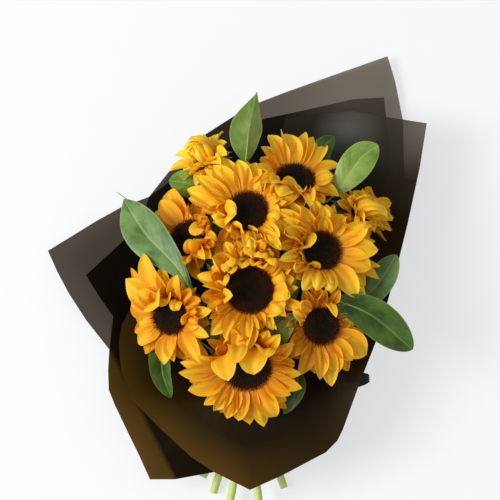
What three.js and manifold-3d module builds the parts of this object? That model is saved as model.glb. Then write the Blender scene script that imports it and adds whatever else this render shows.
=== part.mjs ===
// A hand-tied bunch of ten sunflowers with broad green leaves, wrapped in six sheets of dark film.
// It lies on its back. X runs to the right, Y from the cut stem ends towards the open top of the
// wrap, and Z up from the surface that the back sheet rests on. Sizes are in millimetres.
import * as THREE from 'three';
import { mergeVertices } from 'three/addons/utils/BufferGeometryUtils.js';
import Module from 'manifold-3d';

const wasm = await Module();
wasm.setup();

// ---- driving dimensions ------------------------------------------------------------------------

const gap = 0.3; // left between two pieces that touch
const stemRadius = 4.5;
const twigRadius = 2;
const stemSides = 7;
const twigSides = 6;
const stemStep = 20; // length of one straight stretch of a stem

const tie = { x: -3, y: -149, z: 37, radius: 22.3, wall: 1.1, width: 8 };
const neckStart = tie.y - 12; // the wrap's lower edge
const neckRoom = 3; // the stems run straight for this much longer than the film's neck
const neckEnd = tie.y + 10; // where the wrap starts to flare
const filmThickness = 0.8;
const firstFilmRadius = 24.3;
const filmPitch = 1.35; // radius from one sheet at the neck to the next one outside it
const sheetLayers = 5; // the most sheets that lie one over another
const ribbon = { y: tie.y - 6, wall: 1.1, width: 10 }; // where it is drawn together round the neck
const bow = { width: 24, thickness: 1, stations: 12 }; // the same ribbon, spread out in its bow
const bowGather = { least: 0.35, spread: 3.2 }; // how narrow it is drawn at the knot, and how fast it widens
const knot = { centre: [33.3, -155, 40], size: [7, 13, 15] };

const headSides = 13; // sides of the turned pieces in a flower head
const disc = { depth: 8, crown: 3, dimple: 2, edge: 2 };
const petal = {
  count: 13, thickness: 2.4, tipThinner: 0.6, widthToReach: 0.27, rootDepth: 5.5,
  restAngle: 10, liftStep: 6, mostLift: 90,
};
const petalWidths = [0.55, 1, 0.85, 0.12]; // shares of the petal's width, from its root to its tip
const petalHub = { below: 3.5, depth: 4, width: 3.5 }; // the ring that the petals grow from
const calyx = { depth: 17, flare: 2.5, lip: 3, waist: 10, waistWidth: 0.6, straight: 28 };
const leafThickness = 1.6;
const leafStations = [0.18, 0.4, 0.62, 0.82, 1]; // shares of the blade's length
const leafWidths = [0.6, 1, 0.95, 0.62, 0.05]; // and the share of its width at each of them
const stalkRoom = { end: 1.1, side: 0.1 }; // from a twig to the start of a leaf stalk

// The whole bunch is moved by this much, so that its origin is below the middle of its box.
const originShift = { x: 15.5, y: 10, z: 0 };

// ---- colours -----------------------------------------------------------------------------------

const petalColour = 0xf0a81c;
const discColour = 0x17100c;
const stemColour = 0xa9c25e;
const leafColours = { bright: 0x5f9148, deep: 0x3c642d };
const filmColour = 0x352c22;
const tieColour = 0xc9b184;
const ribbonColour = 0x15120f;

// ---- the flowers: disc centre, the way it faces, disc radius, petal reach,
// the stem's cut end, its x and z at the tie, and its route from there ----------------------------

const flowers = {
  left_back: {
    centre: [-71, 17, 122], facing: [-0.40, 0.25, 0.88], disc: 22, reach: 56,
    cut: [-55, -247, 18], tied: [-12.7, 32], route: [[-18, -110, 33], [-34, -45, 42]],
  },
  top_middle: {
    centre: [-3, 44, 142], facing: [0, 0.12, 0.99], disc: 23, reach: 60,
    cut: [-24, -280, 17], tied: [-3, 32], route: [[-3, -100, 34], [-3, -20, 42], [-3, 20, 58]],
  },
  top_right: {
    centre: [52, 87, 120], facing: [0.15, 0.55, 0.82], disc: 22, reach: 56,
    cut: [-6, -240, 6], tied: [-3, 22.5], route: [[0, -100, 23], [14, 0, 30], [36, 40, 48]],
  },
  top_left: {
    centre: [-52, 113, 98], facing: [-0.45, 0.65, 0.61], disc: 19, reach: 50,
    cut: [-43, -265, 4.8], tied: [-12.7, 22.5], route: [[-14, -100, 20], [-18, 0, 22], [-22, 50, 40]],
  },
  centre: {
    centre: [0, -47, 152], facing: [0.02, -0.05, 1], disc: 28, reach: 64,
    cut: [11, -282, 28], tied: [-3, 41.5], route: [[-3, -110, 47], [-2, -65, 62]],
  },
  right_middle: {
    centre: [81, 0, 136], facing: [0.22, 0.02, 0.975], disc: 21.5, reach: 58,
    cut: [22, -236, 22], tied: [6.7, 32], route: [[14, -110, 35], [44, -45, 46]],
  },
  right_front: {
    centre: [80, -85, 132], facing: [0.25, -0.30, 0.92], disc: 22, reach: 58,
    cut: [34, -238, 32], tied: [6.7, 41.5], route: [[12, -125, 44], [38, -90, 58]],
  },
  left_front: {
    centre: [-90, -73, 128], facing: [-0.35, -0.15, 0.925], disc: 20.5, reach: 56,
    cut: [-44, -232, 32], tied: [-12.7, 41.5], route: [[-16, -125, 44], [-40, -90, 58]],
  },
  front: {
    centre: [-4, -131, 128], facing: [0, -0.50, 0.866], disc: 27, reach: 64,
    cut: [-14, -236, 44], tied: [-3, 51], route: [[-3, -122, 57]],
  },
  far_right: {
    centre: [128, 51, 102], facing: [0.72, 0.25, 0.65], disc: 19, reach: 50,
    cut: [40, -259, 4.8], tied: [6.7, 22.5], route: [[15, -100, 23.5], [48, -20, 36]],
  },
};

// ---- the leafy twigs, stated as the stems are ------------------------------------------

const twigs = {
  back_left: {
    cut: [-66, -240, 8], tied: [-19.9, 27.5],
    route: [[-24, -100, 26], [-30, 0, 30], [-34, 50, 55], [-16, 86, 98]],
  },
  front_left: {
    cut: [-26, -228, 48], tied: [-10.2, 50.5],
    route: [[-16, -128, 62], [-30, -102, 78], [-40, -86, 102]],
  },
  front_right: {
    cut: [10, -230, 46], tied: [4.2, 50.5],
    route: [[14, -128, 60], [45, -110, 70], [72, -96, 82], [92, -84, 92]],
  },
  back_right: {
    cut: [46, -240, 14], tied: [13.9, 27.5],
    route: [[34, -80, 27], [58, -24, 44], [68, 22, 72], [80, 60, 92]],
  },
};

// ---- the leaves: the twig, how far along it the leaf stalk starts, and the midrib's points -------

const leaves = {
  top_middle: {
    twig: 'back_left', at: 1, width: 40, tone: 'bright', across: [1, 0, 0.1],
    rib: [[-8, 101, 122], [-5, 138, 140], [8, 178, 150]],
  },
  top_left_small: {
    twig: 'back_left', at: 0.84, width: 17, tone: 'bright', across: [0.5, 0.8, 0.1],
    rib: [[-52, 66, 72], [-70, 72, 86], [-97, 78, 92]],
  },
  left_long: {
    twig: 'front_left', at: 1, width: 34, tone: 'bright', across: [0.8, 0.6, 0.2],
    rib: [[-48, -76, 122], [-60, -56, 141], [-80, -18, 141], [-113, 27, 125], [-146, 70, 106]],
  },
  bottom_left: {
    twig: 'front_left', at: 0.62, width: 22, tone: 'deep', across: [1, 0.1, 0.2],
    rib: [[-66, -94, 88], [-97, -108, 101], [-99, -132, 104], [-89, -162, 98]],
  },
  right_long: {
    twig: 'front_right', at: 1, width: 36, tone: 'deep', across: [0.3, 0.9, 0.2],
    rib: [[104, -58, 112], [136, -70, 118], [183, -109, 112]],
  },
  right_back: {
    twig: 'front_right', at: 0.86, width: 34, tone: 'deep', across: [0.7, -0.7, 0.1],
    rib: [[104, -74, 78], [124, -52, 87], [144, -34, 95], [168, 2, 98]],
  },
  middle_small: {
    twig: 'front_right', at: 0.58, width: 16, tone: 'bright', across: [0.7, -0.7, 0.1],
    rib: [[38, -104, 96], [36, -94, 114], [54, -68, 124]],
  },
  bottom_right: {
    twig: 'front_right', at: 0.6, width: 18, tone: 'deep', across: [0.9, -0.4, 0.1],
    rib: [[47, -124, 88], [54, -150, 97], [38, -180, 94]],
  },
  right_upper: {
    twig: 'back_right', at: 1, width: 32, tone: 'bright', across: [0.6, -0.8, 0],
    rib: [[92, 66, 106], [108, 85, 118], [129, 112, 121], [147, 126, 118]],
  },
  top_right_hidden: {
    twig: 'back_right', at: 0.94, width: 22, tone: 'deep', across: [0.8, -0.6, 0],
    rib: [[82, 92, 84], [88, 128, 84], [106, 152, 78]],
  },
};

// ---- the wrap: each sheet's free rim, listed clockwise as seen from above -------------------------
// Order 0 is the innermost sheet. Lead is how far the film runs on along the stems before it flares,
// and lift is how high it bows over the stems in front.

const sheets = {
  front_sheet: {
    order: 0, lead: 48, lift: 36,
    rim: [
      [42, 181, 30], [84, 184, 38], [122, 184, 46], [163, 175, 54], [209, 166, 60], [199, 111, 70],
      [183, 42, 78], [168, -15, 84], [146, -91, 88], [125, -143, 88], [105, -197, 84], [99, -209, 82],
      [86, -222, 80],
      [36, -248, 75], [0, -264, 72], [-41, -244, 75], [-67, -227, 78], [-103, -194, 83], [-134, -163, 87],
      [-146, -130, 91], [-149, -100, 94], [-146, -80, 96], [-134, -55, 98],
    ],
  },
  front_left_sheet: {
    order: 1, lead: 20, lift: 29,
    rim: [
      [-11, -236, 52], [-41, -243, 48], [-86, -251, 44], [-115, -251, 42], [-128, -223, 44],
      [-141, -197, 46], [-156, -166, 50], [-163, -149, 52], [-164, -127, 53], [-163, -103, 54],
      [-159, -63, 55], [-137, -40, 56],
    ],
  },
  back_inner_sheet: {
    order: 1, lead: 10, lift: 0,
    rim: [
      [-30, 145, 11], [17, 184, 12], [78, 197, 14], [124, 207, 16], [162, 208, 20], [169, 144, 16],
      [170, 60, 13],
    ],
  },
  left_inner_sheet: {
    order: 2, lead: 8, lift: 0,
    rim: [
      [-140, -90, 26], [-162, -59, 28], [-179, -35, 28], [-194, -11, 28], [-153, 29, 25], [-119, 63, 22],
      [-60, 120, 14],
    ],
  },
  left_sheet: {
    order: 3, lead: 6, lift: 0,
    rim: [
      [-147, -128, 17], [-166, -98, 17], [-194, -63, 18], [-215, -31, 20], [-229, -5, 22],
      [-240, 19, 24], [-184, 57, 15], [-154, 75, 12], [-121, 88, 9], [-70, 128, 6],
    ],
  },
  back_sheet: {
    order: 4, lead: 4, lift: 0, onSurface: true,
    rim: [
      [-140, 30, 0], [-122, 90, 0], [-98, 121, 0], [-54, 167, 0], [0, 203, 0], [43, 220, 2],
      [88, 236, 4], [168, 263, 8], [177, 232, 6], [186, 184, 4], [187, 116, 1], [187, 48, 0],
      [160, -30, 0],
    ],
  },
};
const bedStart = 0.4; // share of a ruling after which the back sheet lies flat on the surface
const bedEnd = 0.8; // and after which it lifts towards its rim
// The widest turn about the neck from one ruling to the next.
const rimStep = THREE.MathUtils.degToRad(11);
const filmRows = 5;
const filmBowl = 1.5; // above 1, the film stays low near the neck and rises towards its rim
const frontBowl = 0.8;
const filmFlare = { end: 0.35, spread: 0.25 }; // how early the film leaves the stems and spreads
const filmBow = 0.6; // share of a sheet's lift that its film bows up by in the middle of a ruling

// ---- small helpers -----------------------------------------------------------------------------

const vec = (p) => new THREE.Vector3(...p);

function material(color, roughness = 0.6, side = THREE.FrontSide) {
  return new THREE.MeshStandardMaterial({ color, roughness, metalness: 0, side });
}

function toSolid(geometry) {
  const bare = geometry.clone();
  for (const name of Object.keys(bare.attributes)) {
    if (name !== 'position') {
      bare.deleteAttribute(name);
    }
  }
  const merged = mergeVertices(bare, 1e-4);
  const build = (triVerts) => {
    const mesh = new wasm.Mesh({
      numProp: 3,
      vertProperties: new Float32Array(merged.attributes.position.array),
      triVerts,
    });
    return new wasm.Manifold(mesh);
  };
  const triangles = new Uint32Array(merged.index.array);
  const solid = build(triangles);
  if (solid.volume() > 0) {
    return solid;
  }
  for (let i = 0; i < triangles.length; i += 3) {
    [triangles[i], triangles[i + 1]] = [triangles[i + 1], triangles[i]];
  }
  return build(triangles);
}

function toGeometry(solid) {
  const { vertProperties, triVerts, numProp } = solid.getMesh();
  const points = [];
  for (let i = 0; i < vertProperties.length; i += numProp) {
    points.push(vertProperties[i], vertProperties[i + 1], vertProperties[i + 2]);
  }
  const geometry = new THREE.BufferGeometry();
  geometry.setAttribute('position', new THREE.Float32BufferAttribute(points, 3));
  geometry.setIndex([...triVerts]);
  return geometry;
}

const union = (solids) => solids.reduce((whole, next) => whole.add(next));

function largestBody(solid) {
  return solid.decompose().reduce((best, body) => (body.volume() > best.volume() ? body : best));
}

// A closed solid from rings of points, all with the same count, with a flat cap at each end.
function loft(rings) {
  const count = rings[0].length;
  const points = rings.flat().flatMap((p) => p.toArray());
  const index = [];
  for (let i = 0; i + 1 < rings.length; i += 1) {
    for (let j = 0; j < count; j += 1) {
      const a = i * count + j;
      const b = i * count + (j + 1) % count;
      index.push(a, b, a + count, b, b + count, a + count);
    }
  }
  const last = (rings.length - 1) * count;
  for (let j = 1; j + 1 < count; j += 1) {
    index.push(0, j + 1, j, last, last + j, last + j + 1);
  }
  const geometry = new THREE.BufferGeometry();
  geometry.setAttribute('position', new THREE.Float32BufferAttribute(points, 3));
  geometry.setIndex(index);
  return toSolid(geometry);
}

// A tube of round section along a smooth curve.
function tube(curve, radius, sides) {
  const section = new THREE.Shape();
  for (let i = 0; i < sides; i += 1) {
    const angle = (i / sides) * Math.PI * 2;
    const place = [radius * Math.cos(angle), radius * Math.sin(angle)];
    if (i === 0) {
      section.moveTo(...place);
    } else {
      section.lineTo(...place);
    }
  }
  const steps = Math.round(curve.getLength() / stemStep);
  return toSolid(new THREE.ExtrudeGeometry(section, { steps, extrudePath: curve, curveSegments: 1 }));
}

// A turned solid, with its axis moved from +Y to the given direction at the given place.
function turned(profile, segments, place, direction) {
  const lathe = new THREE.LatheGeometry(profile.map((p) => new THREE.Vector2(...p)), segments);
  const turn = new THREE.Quaternion().setFromUnitVectors(new THREE.Vector3(0, 1, 0), direction);
  lathe.applyQuaternion(turn);
  lathe.translate(place.x, place.y, place.z);
  return toSolid(lathe);
}

// ---- flower heads ------------------------------------------------------------------------------

function headOf(name) {
  const flower = flowers[name];
  return { ...flower, centre: vec(flower.centre), facing: vec(flower.facing).normalize() };
}

// The planes that keep a head's petals clear of the other heads: they run halfway, by reach, to each.
function cellOf(name) {
  const own = headOf(name);
  return Object.keys(flowers).filter((other) => other !== name).map((other) => {
    const next = headOf(other);
    const normal = next.centre.clone().sub(own.centre).normalize();
    const share = own.reach / (own.reach + next.reach);
    const halfway = own.centre.clone().lerp(next.centre, share);
    return new THREE.Plane().setFromNormalAndCoplanarPoint(normal, halfway);
  });
}

const insideCell = (cell, point, margin) => cell.every((plane) => plane.distanceToPoint(point) < -margin);

// One petal as rings of three points, two at its edges and one at its keel.
// It bends upwards by the given angle, in degrees, towards its tip.
function petalRings(head, outward, lift) {
  const side = new THREE.Vector3().crossVectors(head.facing, outward);
  const start = head.disc + petalHub.width / 2;
  const steps = petalWidths.length - 1;
  const step = (head.reach - start) / steps;
  let along = start;
  let height = -petal.rootDepth;
  const rings = [];
  petalWidths.forEach((share, i) => {
    const t = i / steps;
    if (i > 0) {
      const angle = THREE.MathUtils.degToRad(petal.restAngle + lift * Math.min(1, (i + 1) / steps));
      along += step * Math.cos(angle);
      height += step * Math.sin(angle);
    }
    const middle = head.centre.clone().addScaledVector(outward, along);
    middle.addScaledVector(head.facing, height);
    const half = (head.reach * petal.widthToReach / 2) * share;
    const thick = (petal.thickness / 2) * (1 - petal.tipThinner * t);
    rings.push([
      middle.clone().addScaledVector(side, half).addScaledVector(head.facing, thick),
      middle.clone().addScaledVector(side, -half).addScaledVector(head.facing, thick),
      middle.clone().addScaledVector(head.facing, -thick),
    ]);
  });
  return rings;
}

function petalSolid(head, cell, turn) {
  const seed = Math.abs(head.facing.x) > 0.9 ? new THREE.Vector3(0, 1, 0) : new THREE.Vector3(1, 0, 0);
  const zero = seed.clone().addScaledVector(head.facing, -seed.dot(head.facing)).normalize();
  const outward = zero.applyAxisAngle(head.facing, turn);
  for (let lift = 0; lift <= petal.mostLift; lift += petal.liftStep) {
    const rings = petalRings(head, outward, lift);
    if (rings.flat().every((point) => insideCell(cell, point, gap))) {
      return loft(rings);
    }
  }
  return null;
}

function petalRing(name) {
  const head = headOf(name);
  const cell = cellOf(name);
  const inner = head.disc + gap;
  const outer = head.disc + petalHub.width;
  const top = -petalHub.below;
  const foot = top - petalHub.depth;
  const hub = turned(
    [[inner, top], [inner, foot], [outer, foot], [outer, top], [inner, top]],
    headSides, head.centre, head.facing,
  );
  const petals = [];
  for (let i = 0; i < petal.count; i += 1) {
    const solid = petalSolid(head, cell, (i / petal.count) * Math.PI * 2 + head.centre.x);
    if (solid) {
      petals.push(solid);
    }
  }
  return union([hub, ...petals]);
}

function discSolid(name) {
  const head = headOf(name);
  const r = head.disc;
  return turned(
    [
      [0, -disc.depth], [r - disc.edge, -disc.depth], [r, -disc.depth + disc.edge], [r, 0],
      [r * 0.6, disc.crown], [0, disc.crown - disc.dimple],
    ],
    headSides, head.centre, head.facing,
  );
}

// The way of a stem or twig, straight where it runs through the tie.
function tiedRoute(piece) {
  const [x, z] = piece.tied;
  return [piece.cut, [x, neckStart - neckRoom, z], [x, tie.y + neckRoom, z], ...piece.route].map(vec);
}

// A stem with the green cup of bracts that it ends in, under the disc.
function stemSolid(name) {
  const head = headOf(name);
  const back = (depth) => head.centre.clone().addScaledVector(head.facing, -depth);
  const top = disc.depth + gap;
  const foot = top + calyx.depth;
  const route = [...tiedRoute(head), back(foot + calyx.straight), back(foot), back(top + calyx.lip)];
  const curve = new THREE.CatmullRomCurve3(route, false, 'centripetal');
  const rim = head.disc + calyx.flare;
  const cup = turned(
    [
      [0, -foot], [stemRadius + 1, -foot], [rim * calyx.waistWidth, -top - calyx.waist],
      [rim, -top - calyx.lip], [rim, -top], [0, -top],
    ],
    headSides, head.centre, head.facing,
  );
  return tube(curve, stemRadius, stemSides).add(cup);
}

// ---- leaves ------------------------------------------------------------------------------------

const twigCurve = (name) => new THREE.CatmullRomCurve3(tiedRoute(twigs[name]), false, 'centripetal');

// A leaf with its stalk, as rings of four points along its midrib. Extra makes it fatter all round.
function leafSolid(name, extra = 0) {
  const leaf = leaves[name];
  const twig = twigCurve(leaf.twig);
  const joint = twig.getPointAt(leaf.at);
  const first = vec(leaf.rib[0]);
  const away = first.clone().sub(joint).normalize();
  const tangent = twig.getTangentAt(leaf.at);
  const aside = away.clone().addScaledVector(tangent, -away.dot(tangent)).normalize();
  const start = leaf.at === 1
    ? joint.clone().addScaledVector(away, stalkRoom.end)
    : joint.clone().addScaledVector(aside, twigRadius + leafThickness / 2 + stalkRoom.side);
  const curve = new THREE.CatmullRomCurve3([start, ...leaf.rib.map(vec)], false, 'centripetal');
  const stalkEnd = start.distanceTo(first) / curve.getLength();
  const alongBlade = (t) => stalkEnd + (1 - stalkEnd) * t;
  const stations = [0, stalkEnd * 0.9, ...leafStations.map(alongBlade)];
  const widths = [0, 0, ...leafWidths];
  const thick = leafThickness / 2 + extra;
  const rings = stations.map((t, i) => {
    const middle = curve.getPointAt(Math.min(t, 1));
    const along = curve.getTangentAt(Math.min(t, 1));
    const flat = vec(leaf.across);
    const side = flat.addScaledVector(along, -flat.dot(along)).normalize();
    const up = new THREE.Vector3().crossVectors(side, along).normalize();
    const half = Math.max((leaf.width / 2) * widths[i], leafThickness / 2) + extra;
    return [
      middle.clone().addScaledVector(side, half),
      middle.clone().addScaledVector(up, thick),
      middle.clone().addScaledVector(side, -half),
      middle.clone().addScaledVector(up, -thick),
    ];
  });
  return loft(rings);
}

// ---- the wrap ----------------------------------------------------------------------------------

const turnAboutNeck = (point) => Math.atan2(tie.y - point.y, point.x - tie.x);

// Adds points to a rim where two of its points are far apart, seen from the neck.
function fineRim(rim) {
  const points = rim.map(vec);
  const fine = [points[0]];
  for (let i = 1; i < points.length; i += 1) {
    const turn = Math.abs(turnAboutNeck(points[i]) - turnAboutNeck(points[i - 1]));
    const parts = Math.ceil(Math.min(turn, Math.PI * 2 - turn) / rimStep);
    for (let k = 1; k <= parts; k += 1) {
      fine.push(points[i - 1].clone().lerp(points[i], k / parts));
    }
  }
  return fine;
}

// One ruling of a sheet, from its lower edge through the neck to the rim.
function ruling(sheet, rimPoint) {
  const radius = firstFilmRadius + sheet.order * filmPitch;
  const turn = turnAboutNeck(rimPoint);
  const ringPoint = (y) => new THREE.Vector3(
    tie.x + radius * Math.cos(turn), y, tie.z + radius * Math.sin(turn),
  );
  const start = ringPoint(neckEnd);
  const front = Math.max(0, Math.sin(turn));
  const points = [ringPoint(neckStart), start];
  for (let row = 1; row <= filmRows; row += 1) {
    const t = row / filmRows;
    const lead = sheet.lead * 3 * t * (1 - t) ** 2;
    const across = 3 * t ** 2 * (1 - t) * filmFlare.end + t ** 3 + filmFlare.spread * t * (1 - t);
    const place = start.clone().lerp(rimPoint, across);
    const bowl = THREE.MathUtils.lerp(filmBowl, frontBowl, front);
    const raised = sheet.lift * front * filmBow * Math.sin(Math.PI * t);
    place.z = THREE.MathUtils.lerp(start.z, rimPoint.z, t ** bowl) + raised;
    if (sheet.onSurface) {
      const down = start.z * Math.max(0, 1 - t / bedStart);
      place.z = down + rimPoint.z * Math.max(0, (t - bedEnd) / (1 - bedEnd));
    }
    place.y += lead;
    points.push(place);
  }
  return points;
}

function sheetSolid(name) {
  const sheet = sheets[name];
  const rulings = fineRim(sheet.rim).map((point) => ruling(sheet, point));
  const geometry = new THREE.BufferGeometry();
  const rows = rulings[0].length;
  const columns = rulings.length;
  const between = (from, to) => to.clone().sub(from);
  const normalAt = (i, j) => {
    const alongRow = between(rulings[Math.max(i - 1, 0)][j], rulings[Math.min(i + 1, columns - 1)][j]);
    const alongRuling = between(rulings[i][Math.max(j - 1, 0)], rulings[i][Math.min(j + 1, rows - 1)]);
    return new THREE.Vector3().crossVectors(alongRuling, alongRow).normalize();
  };
  const points = [];
  for (const shift of [0, filmThickness]) {
    for (let i = 0; i < columns; i += 1) {
      for (let j = 0; j < rows; j += 1) {
        const point = rulings[i][j].clone().addScaledVector(normalAt(i, j), shift);
        points.push(point.x, point.y, Math.max(point.z, filmThickness - shift));
      }
    }
  }
  const at = (layer, i, j) => layer * columns * rows + i * rows + j;
  const index = [];
  const quad = (a, b, c, d) => index.push(a, b, c, a, c, d);
  for (let i = 0; i + 1 < columns; i += 1) {
    for (let j = 0; j + 1 < rows; j += 1) {
      quad(at(0, i, j), at(0, i, j + 1), at(0, i + 1, j + 1), at(0, i + 1, j));
      quad(at(1, i, j), at(1, i + 1, j), at(1, i + 1, j + 1), at(1, i, j + 1));
    }
    quad(at(0, i, 0), at(0, i + 1, 0), at(1, i + 1, 0), at(1, i, 0));
    quad(at(0, i, rows - 1), at(1, i, rows - 1), at(1, i + 1, rows - 1), at(0, i + 1, rows - 1));
  }
  for (let j = 0; j + 1 < rows; j += 1) {
    quad(at(0, 0, j), at(1, 0, j), at(1, 0, j + 1), at(0, 0, j + 1));
    const end = columns - 1;
    quad(at(0, end, j), at(0, end, j + 1), at(1, end, j + 1), at(1, end, j));
  }
  geometry.setAttribute('position', new THREE.Float32BufferAttribute(points, 3));
  geometry.setIndex(index);
  return toSolid(geometry);
}

// ---- the tie and the ribbon --------------------------------------------------------------------

// The bow's loops and tails, each as the middle line of a flat strip of ribbon. It starts at the knot.
const bowStrips = {
  ribbon_loop_right: {
    across: [0, 1, 0],
    line: [
      [37.8, -154, 45.5], [62, -150, 52], [100, -143, 60], [130, -137, 66], [138, -136, 60], [128, -137, 52],
      [80, -146, 42], [37.8, -155, 41.5],
    ],
  },
  ribbon_loop_front: {
    across: [0.5, 0.45, 0.75],
    line: [
      [38.6, -160.4, 35.5], [57, -175, 38], [74, -194, 34], [80, -203, 24], [72, -199, 16], [58, -182, 20],
      [40, -165, 30],
    ],
  },
  ribbon_tail_long: {
    across: [0.9, 0.4, 0],
    line: [[32.5, -162.5, 33], [33, -171, 19], [41, -186, 8], [50, -203, 3], [58, -219, 1.6]],
  },
  ribbon_tail_short: {
    across: [0.2, 0.95, 0],
    line: [[37.8, -151.5, 34], [50, -151, 24], [68, -153, 12], [88, -157, 3.5], [104, -160, 1.6]],
  },
};

function strip(line, across, width, thickness) {
  const curve = new THREE.CatmullRomCurve3(line.map(vec), false, 'centripetal');
  const side = vec(across).normalize();
  const rings = [];
  for (let i = 0; i <= bow.stations; i += 1) {
    const middle = curve.getPointAt(i / bow.stations);
    const along = curve.getTangentAt(i / bow.stations);
    const flat = side.clone().addScaledVector(along, -side.dot(along)).normalize();
    const up = new THREE.Vector3().crossVectors(flat, along);
    const fromKnot = Math.min(i, closes(line) ? bow.stations - i : i) / bow.stations;
    const half = (width / 2) * Math.min(1, bowGather.least + bowGather.spread * fromKnot);
    const corner = (a, b) => {
      const place = middle.clone().addScaledVector(flat, a * half);
      return place.addScaledVector(up, (b * thickness) / 2);
    };
    rings.push([corner(1, 1), corner(1, -1), corner(-1, -1), corner(-1, 1)]);
  }
  return loft(rings);
}

// A loop's line comes back to the knot, and a tail's doesn't.
const closes = (line) => vec(line[0]).distanceTo(vec(line[line.length - 1])) < bow.width;

const alongY = new THREE.Vector3(0, 1, 0);
const bandSides = 32;

function band(innerRadius, wall, width, middle) {
  const outer = innerRadius + wall;
  const half = width / 2;
  return turned(
    [[innerRadius, -half], [outer, -half], [outer, half], [innerRadius, half], [innerRadius, -half]],
    bandSides, new THREE.Vector3(tie.x, middle, tie.z), alongY,
  );
}

// ---- assembly ----------------------------------------------------------------------------------

const bunch = new THREE.Group();
bunch.name = 'sunflower_bunch';
const blossoms = new THREE.Group();
const greenery = new THREE.Group();
const wrap = new THREE.Group();
bunch.add(blossoms, greenery, wrap);
bunch.position.set(originShift.x, originShift.y, originShift.z);

function addPiece(group, name, solid, finish) {
  const mesh = new THREE.Mesh(toGeometry(solid), finish);
  mesh.name = name;
  group.add(mesh);
}

const leafRoom = union(Object.keys(leaves).map((name) => leafSolid(name, gap)));

for (const name of Object.keys(flowers)) {
  addPiece(blossoms, `stem_${name}`, stemSolid(name), material(stemColour, 0.55));
  addPiece(blossoms, `disc_${name}`, discSolid(name), material(discColour, 0.95));
  const petals = largestBody(petalRing(name).subtract(leafRoom));
  addPiece(blossoms, `petals_${name}`, petals, material(petalColour, 0.6));
}

for (const name of Object.keys(twigs)) {
  const solid = tube(twigCurve(name), twigRadius, twigSides);
  addPiece(greenery, `twig_${name}`, solid, material(stemColour, 0.6));
}

for (const [name, leaf] of Object.entries(leaves)) {
  addPiece(greenery, `leaf_${name}`, leafSolid(name), material(leafColours[leaf.tone], 0.4));
}

for (const name of Object.keys(sheets)) {
  addPiece(wrap, name, sheetSolid(name), material(filmColour, 0.45, THREE.DoubleSide));
}

const tieRing = band(tie.radius, tie.wall, tie.width, tie.y);
addPiece(wrap, 'tie', tieRing, material(tieColour, 0.8));
const ribbonRadius = firstFilmRadius + sheetLayers * filmPitch + gap;
const ribbonRing = band(ribbonRadius, ribbon.wall, ribbon.width, ribbon.y);
addPiece(wrap, 'ribbon_band', ribbonRing, material(ribbonColour, 0.4));
const knotBlock = new THREE.BoxGeometry(...knot.size);
knotBlock.translate(...knot.centre);
addPiece(wrap, 'ribbon_knot', toSolid(knotBlock), material(ribbonColour, 0.4));
for (const [name, { line, across }] of Object.entries(bowStrips)) {
  const solid = strip(line, across, bow.width, bow.thickness);
  addPiece(wrap, name, solid, material(ribbonColour, 0.4, THREE.DoubleSide));
}

export default bunch;
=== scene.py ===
"""A bunch of ten sunflowers with broad green leaves, wrapped in wide sheets of dark frosted film, lying on its back.

X runs to the right, Y from the cut stem ends to the open top of the wrap, and Z up from the surface.
Sizes in this script are millimetres until `world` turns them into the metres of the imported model.
"""
import math
import random

import bpy
import numpy as np
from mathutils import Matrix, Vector
from mathutils.bvhtree import BVHTree

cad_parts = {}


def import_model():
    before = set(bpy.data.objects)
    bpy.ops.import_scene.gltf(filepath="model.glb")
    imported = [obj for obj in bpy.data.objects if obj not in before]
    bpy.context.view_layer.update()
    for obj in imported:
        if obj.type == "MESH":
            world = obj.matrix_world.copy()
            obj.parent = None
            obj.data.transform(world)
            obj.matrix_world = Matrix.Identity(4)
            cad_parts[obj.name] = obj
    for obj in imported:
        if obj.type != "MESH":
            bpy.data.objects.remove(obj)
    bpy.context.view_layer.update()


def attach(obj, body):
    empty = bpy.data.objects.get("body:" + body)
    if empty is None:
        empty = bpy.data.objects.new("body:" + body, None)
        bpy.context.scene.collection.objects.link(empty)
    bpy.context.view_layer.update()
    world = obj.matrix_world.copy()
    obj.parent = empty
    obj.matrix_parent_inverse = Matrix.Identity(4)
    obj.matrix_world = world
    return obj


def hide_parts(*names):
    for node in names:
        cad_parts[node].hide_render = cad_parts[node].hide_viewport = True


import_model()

MM = 0.001
ORIGIN_SHIFT = np.array([15.5, 10.0, 0.0])  # the bunch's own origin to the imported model's


def world(points):
    return (np.asarray(points, dtype=float) + ORIGIN_SHIFT) * MM


def arr(*values):
    return np.array(values, dtype=float)


def unit(v):
    v = np.asarray(v, dtype=float)
    return v / np.linalg.norm(v)


def lerp(a, b, t):
    return a + (b - a) * t


def smooth(t, low, high):
    """0 below low and 1 above high, with a soft change between."""
    x = np.clip((np.asarray(t, dtype=float) - low) / (high - low), 0.0, 1.0)
    return x * x * (3 - 2 * x)


# ---- camera: it looks almost straight down at the bunch, as the photograph does ------------------

VIEW_TARGET = arr(0, 0, 140)
VIEW_DISTANCE = 1900
VIEW_ELEVATION = math.radians(80)
VIEW_HALF_WIDTH = 280  # of the frame, at the target
VIEW_STEP = 2 * VIEW_HALF_WIDTH / 500  # a five-hundredth of the frame, at the target
VIEW_BACK = arr(0, -math.cos(VIEW_ELEVATION), math.sin(VIEW_ELEVATION))
VIEW_UP = arr(0, math.sin(VIEW_ELEVATION), math.cos(VIEW_ELEVATION))
CAMERA_REACH_M = 20


def make_camera():
    data = bpy.data.cameras.new("camera")
    data.sensor_width = 36
    data.lens = data.sensor_width / 2 * VIEW_DISTANCE / VIEW_HALF_WIDTH
    data.clip_end = CAMERA_REACH_M
    camera = bpy.data.objects.new("camera", data)
    bpy.context.collection.objects.link(camera)
    camera.location = world(VIEW_TARGET + VIEW_BACK * VIEW_DISTANCE)
    camera.rotation_mode = "QUATERNION"
    camera.rotation_quaternion = Vector(-VIEW_BACK).to_track_quat("-Z", "Y")
    bpy.context.scene.camera = camera


make_camera()


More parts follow.
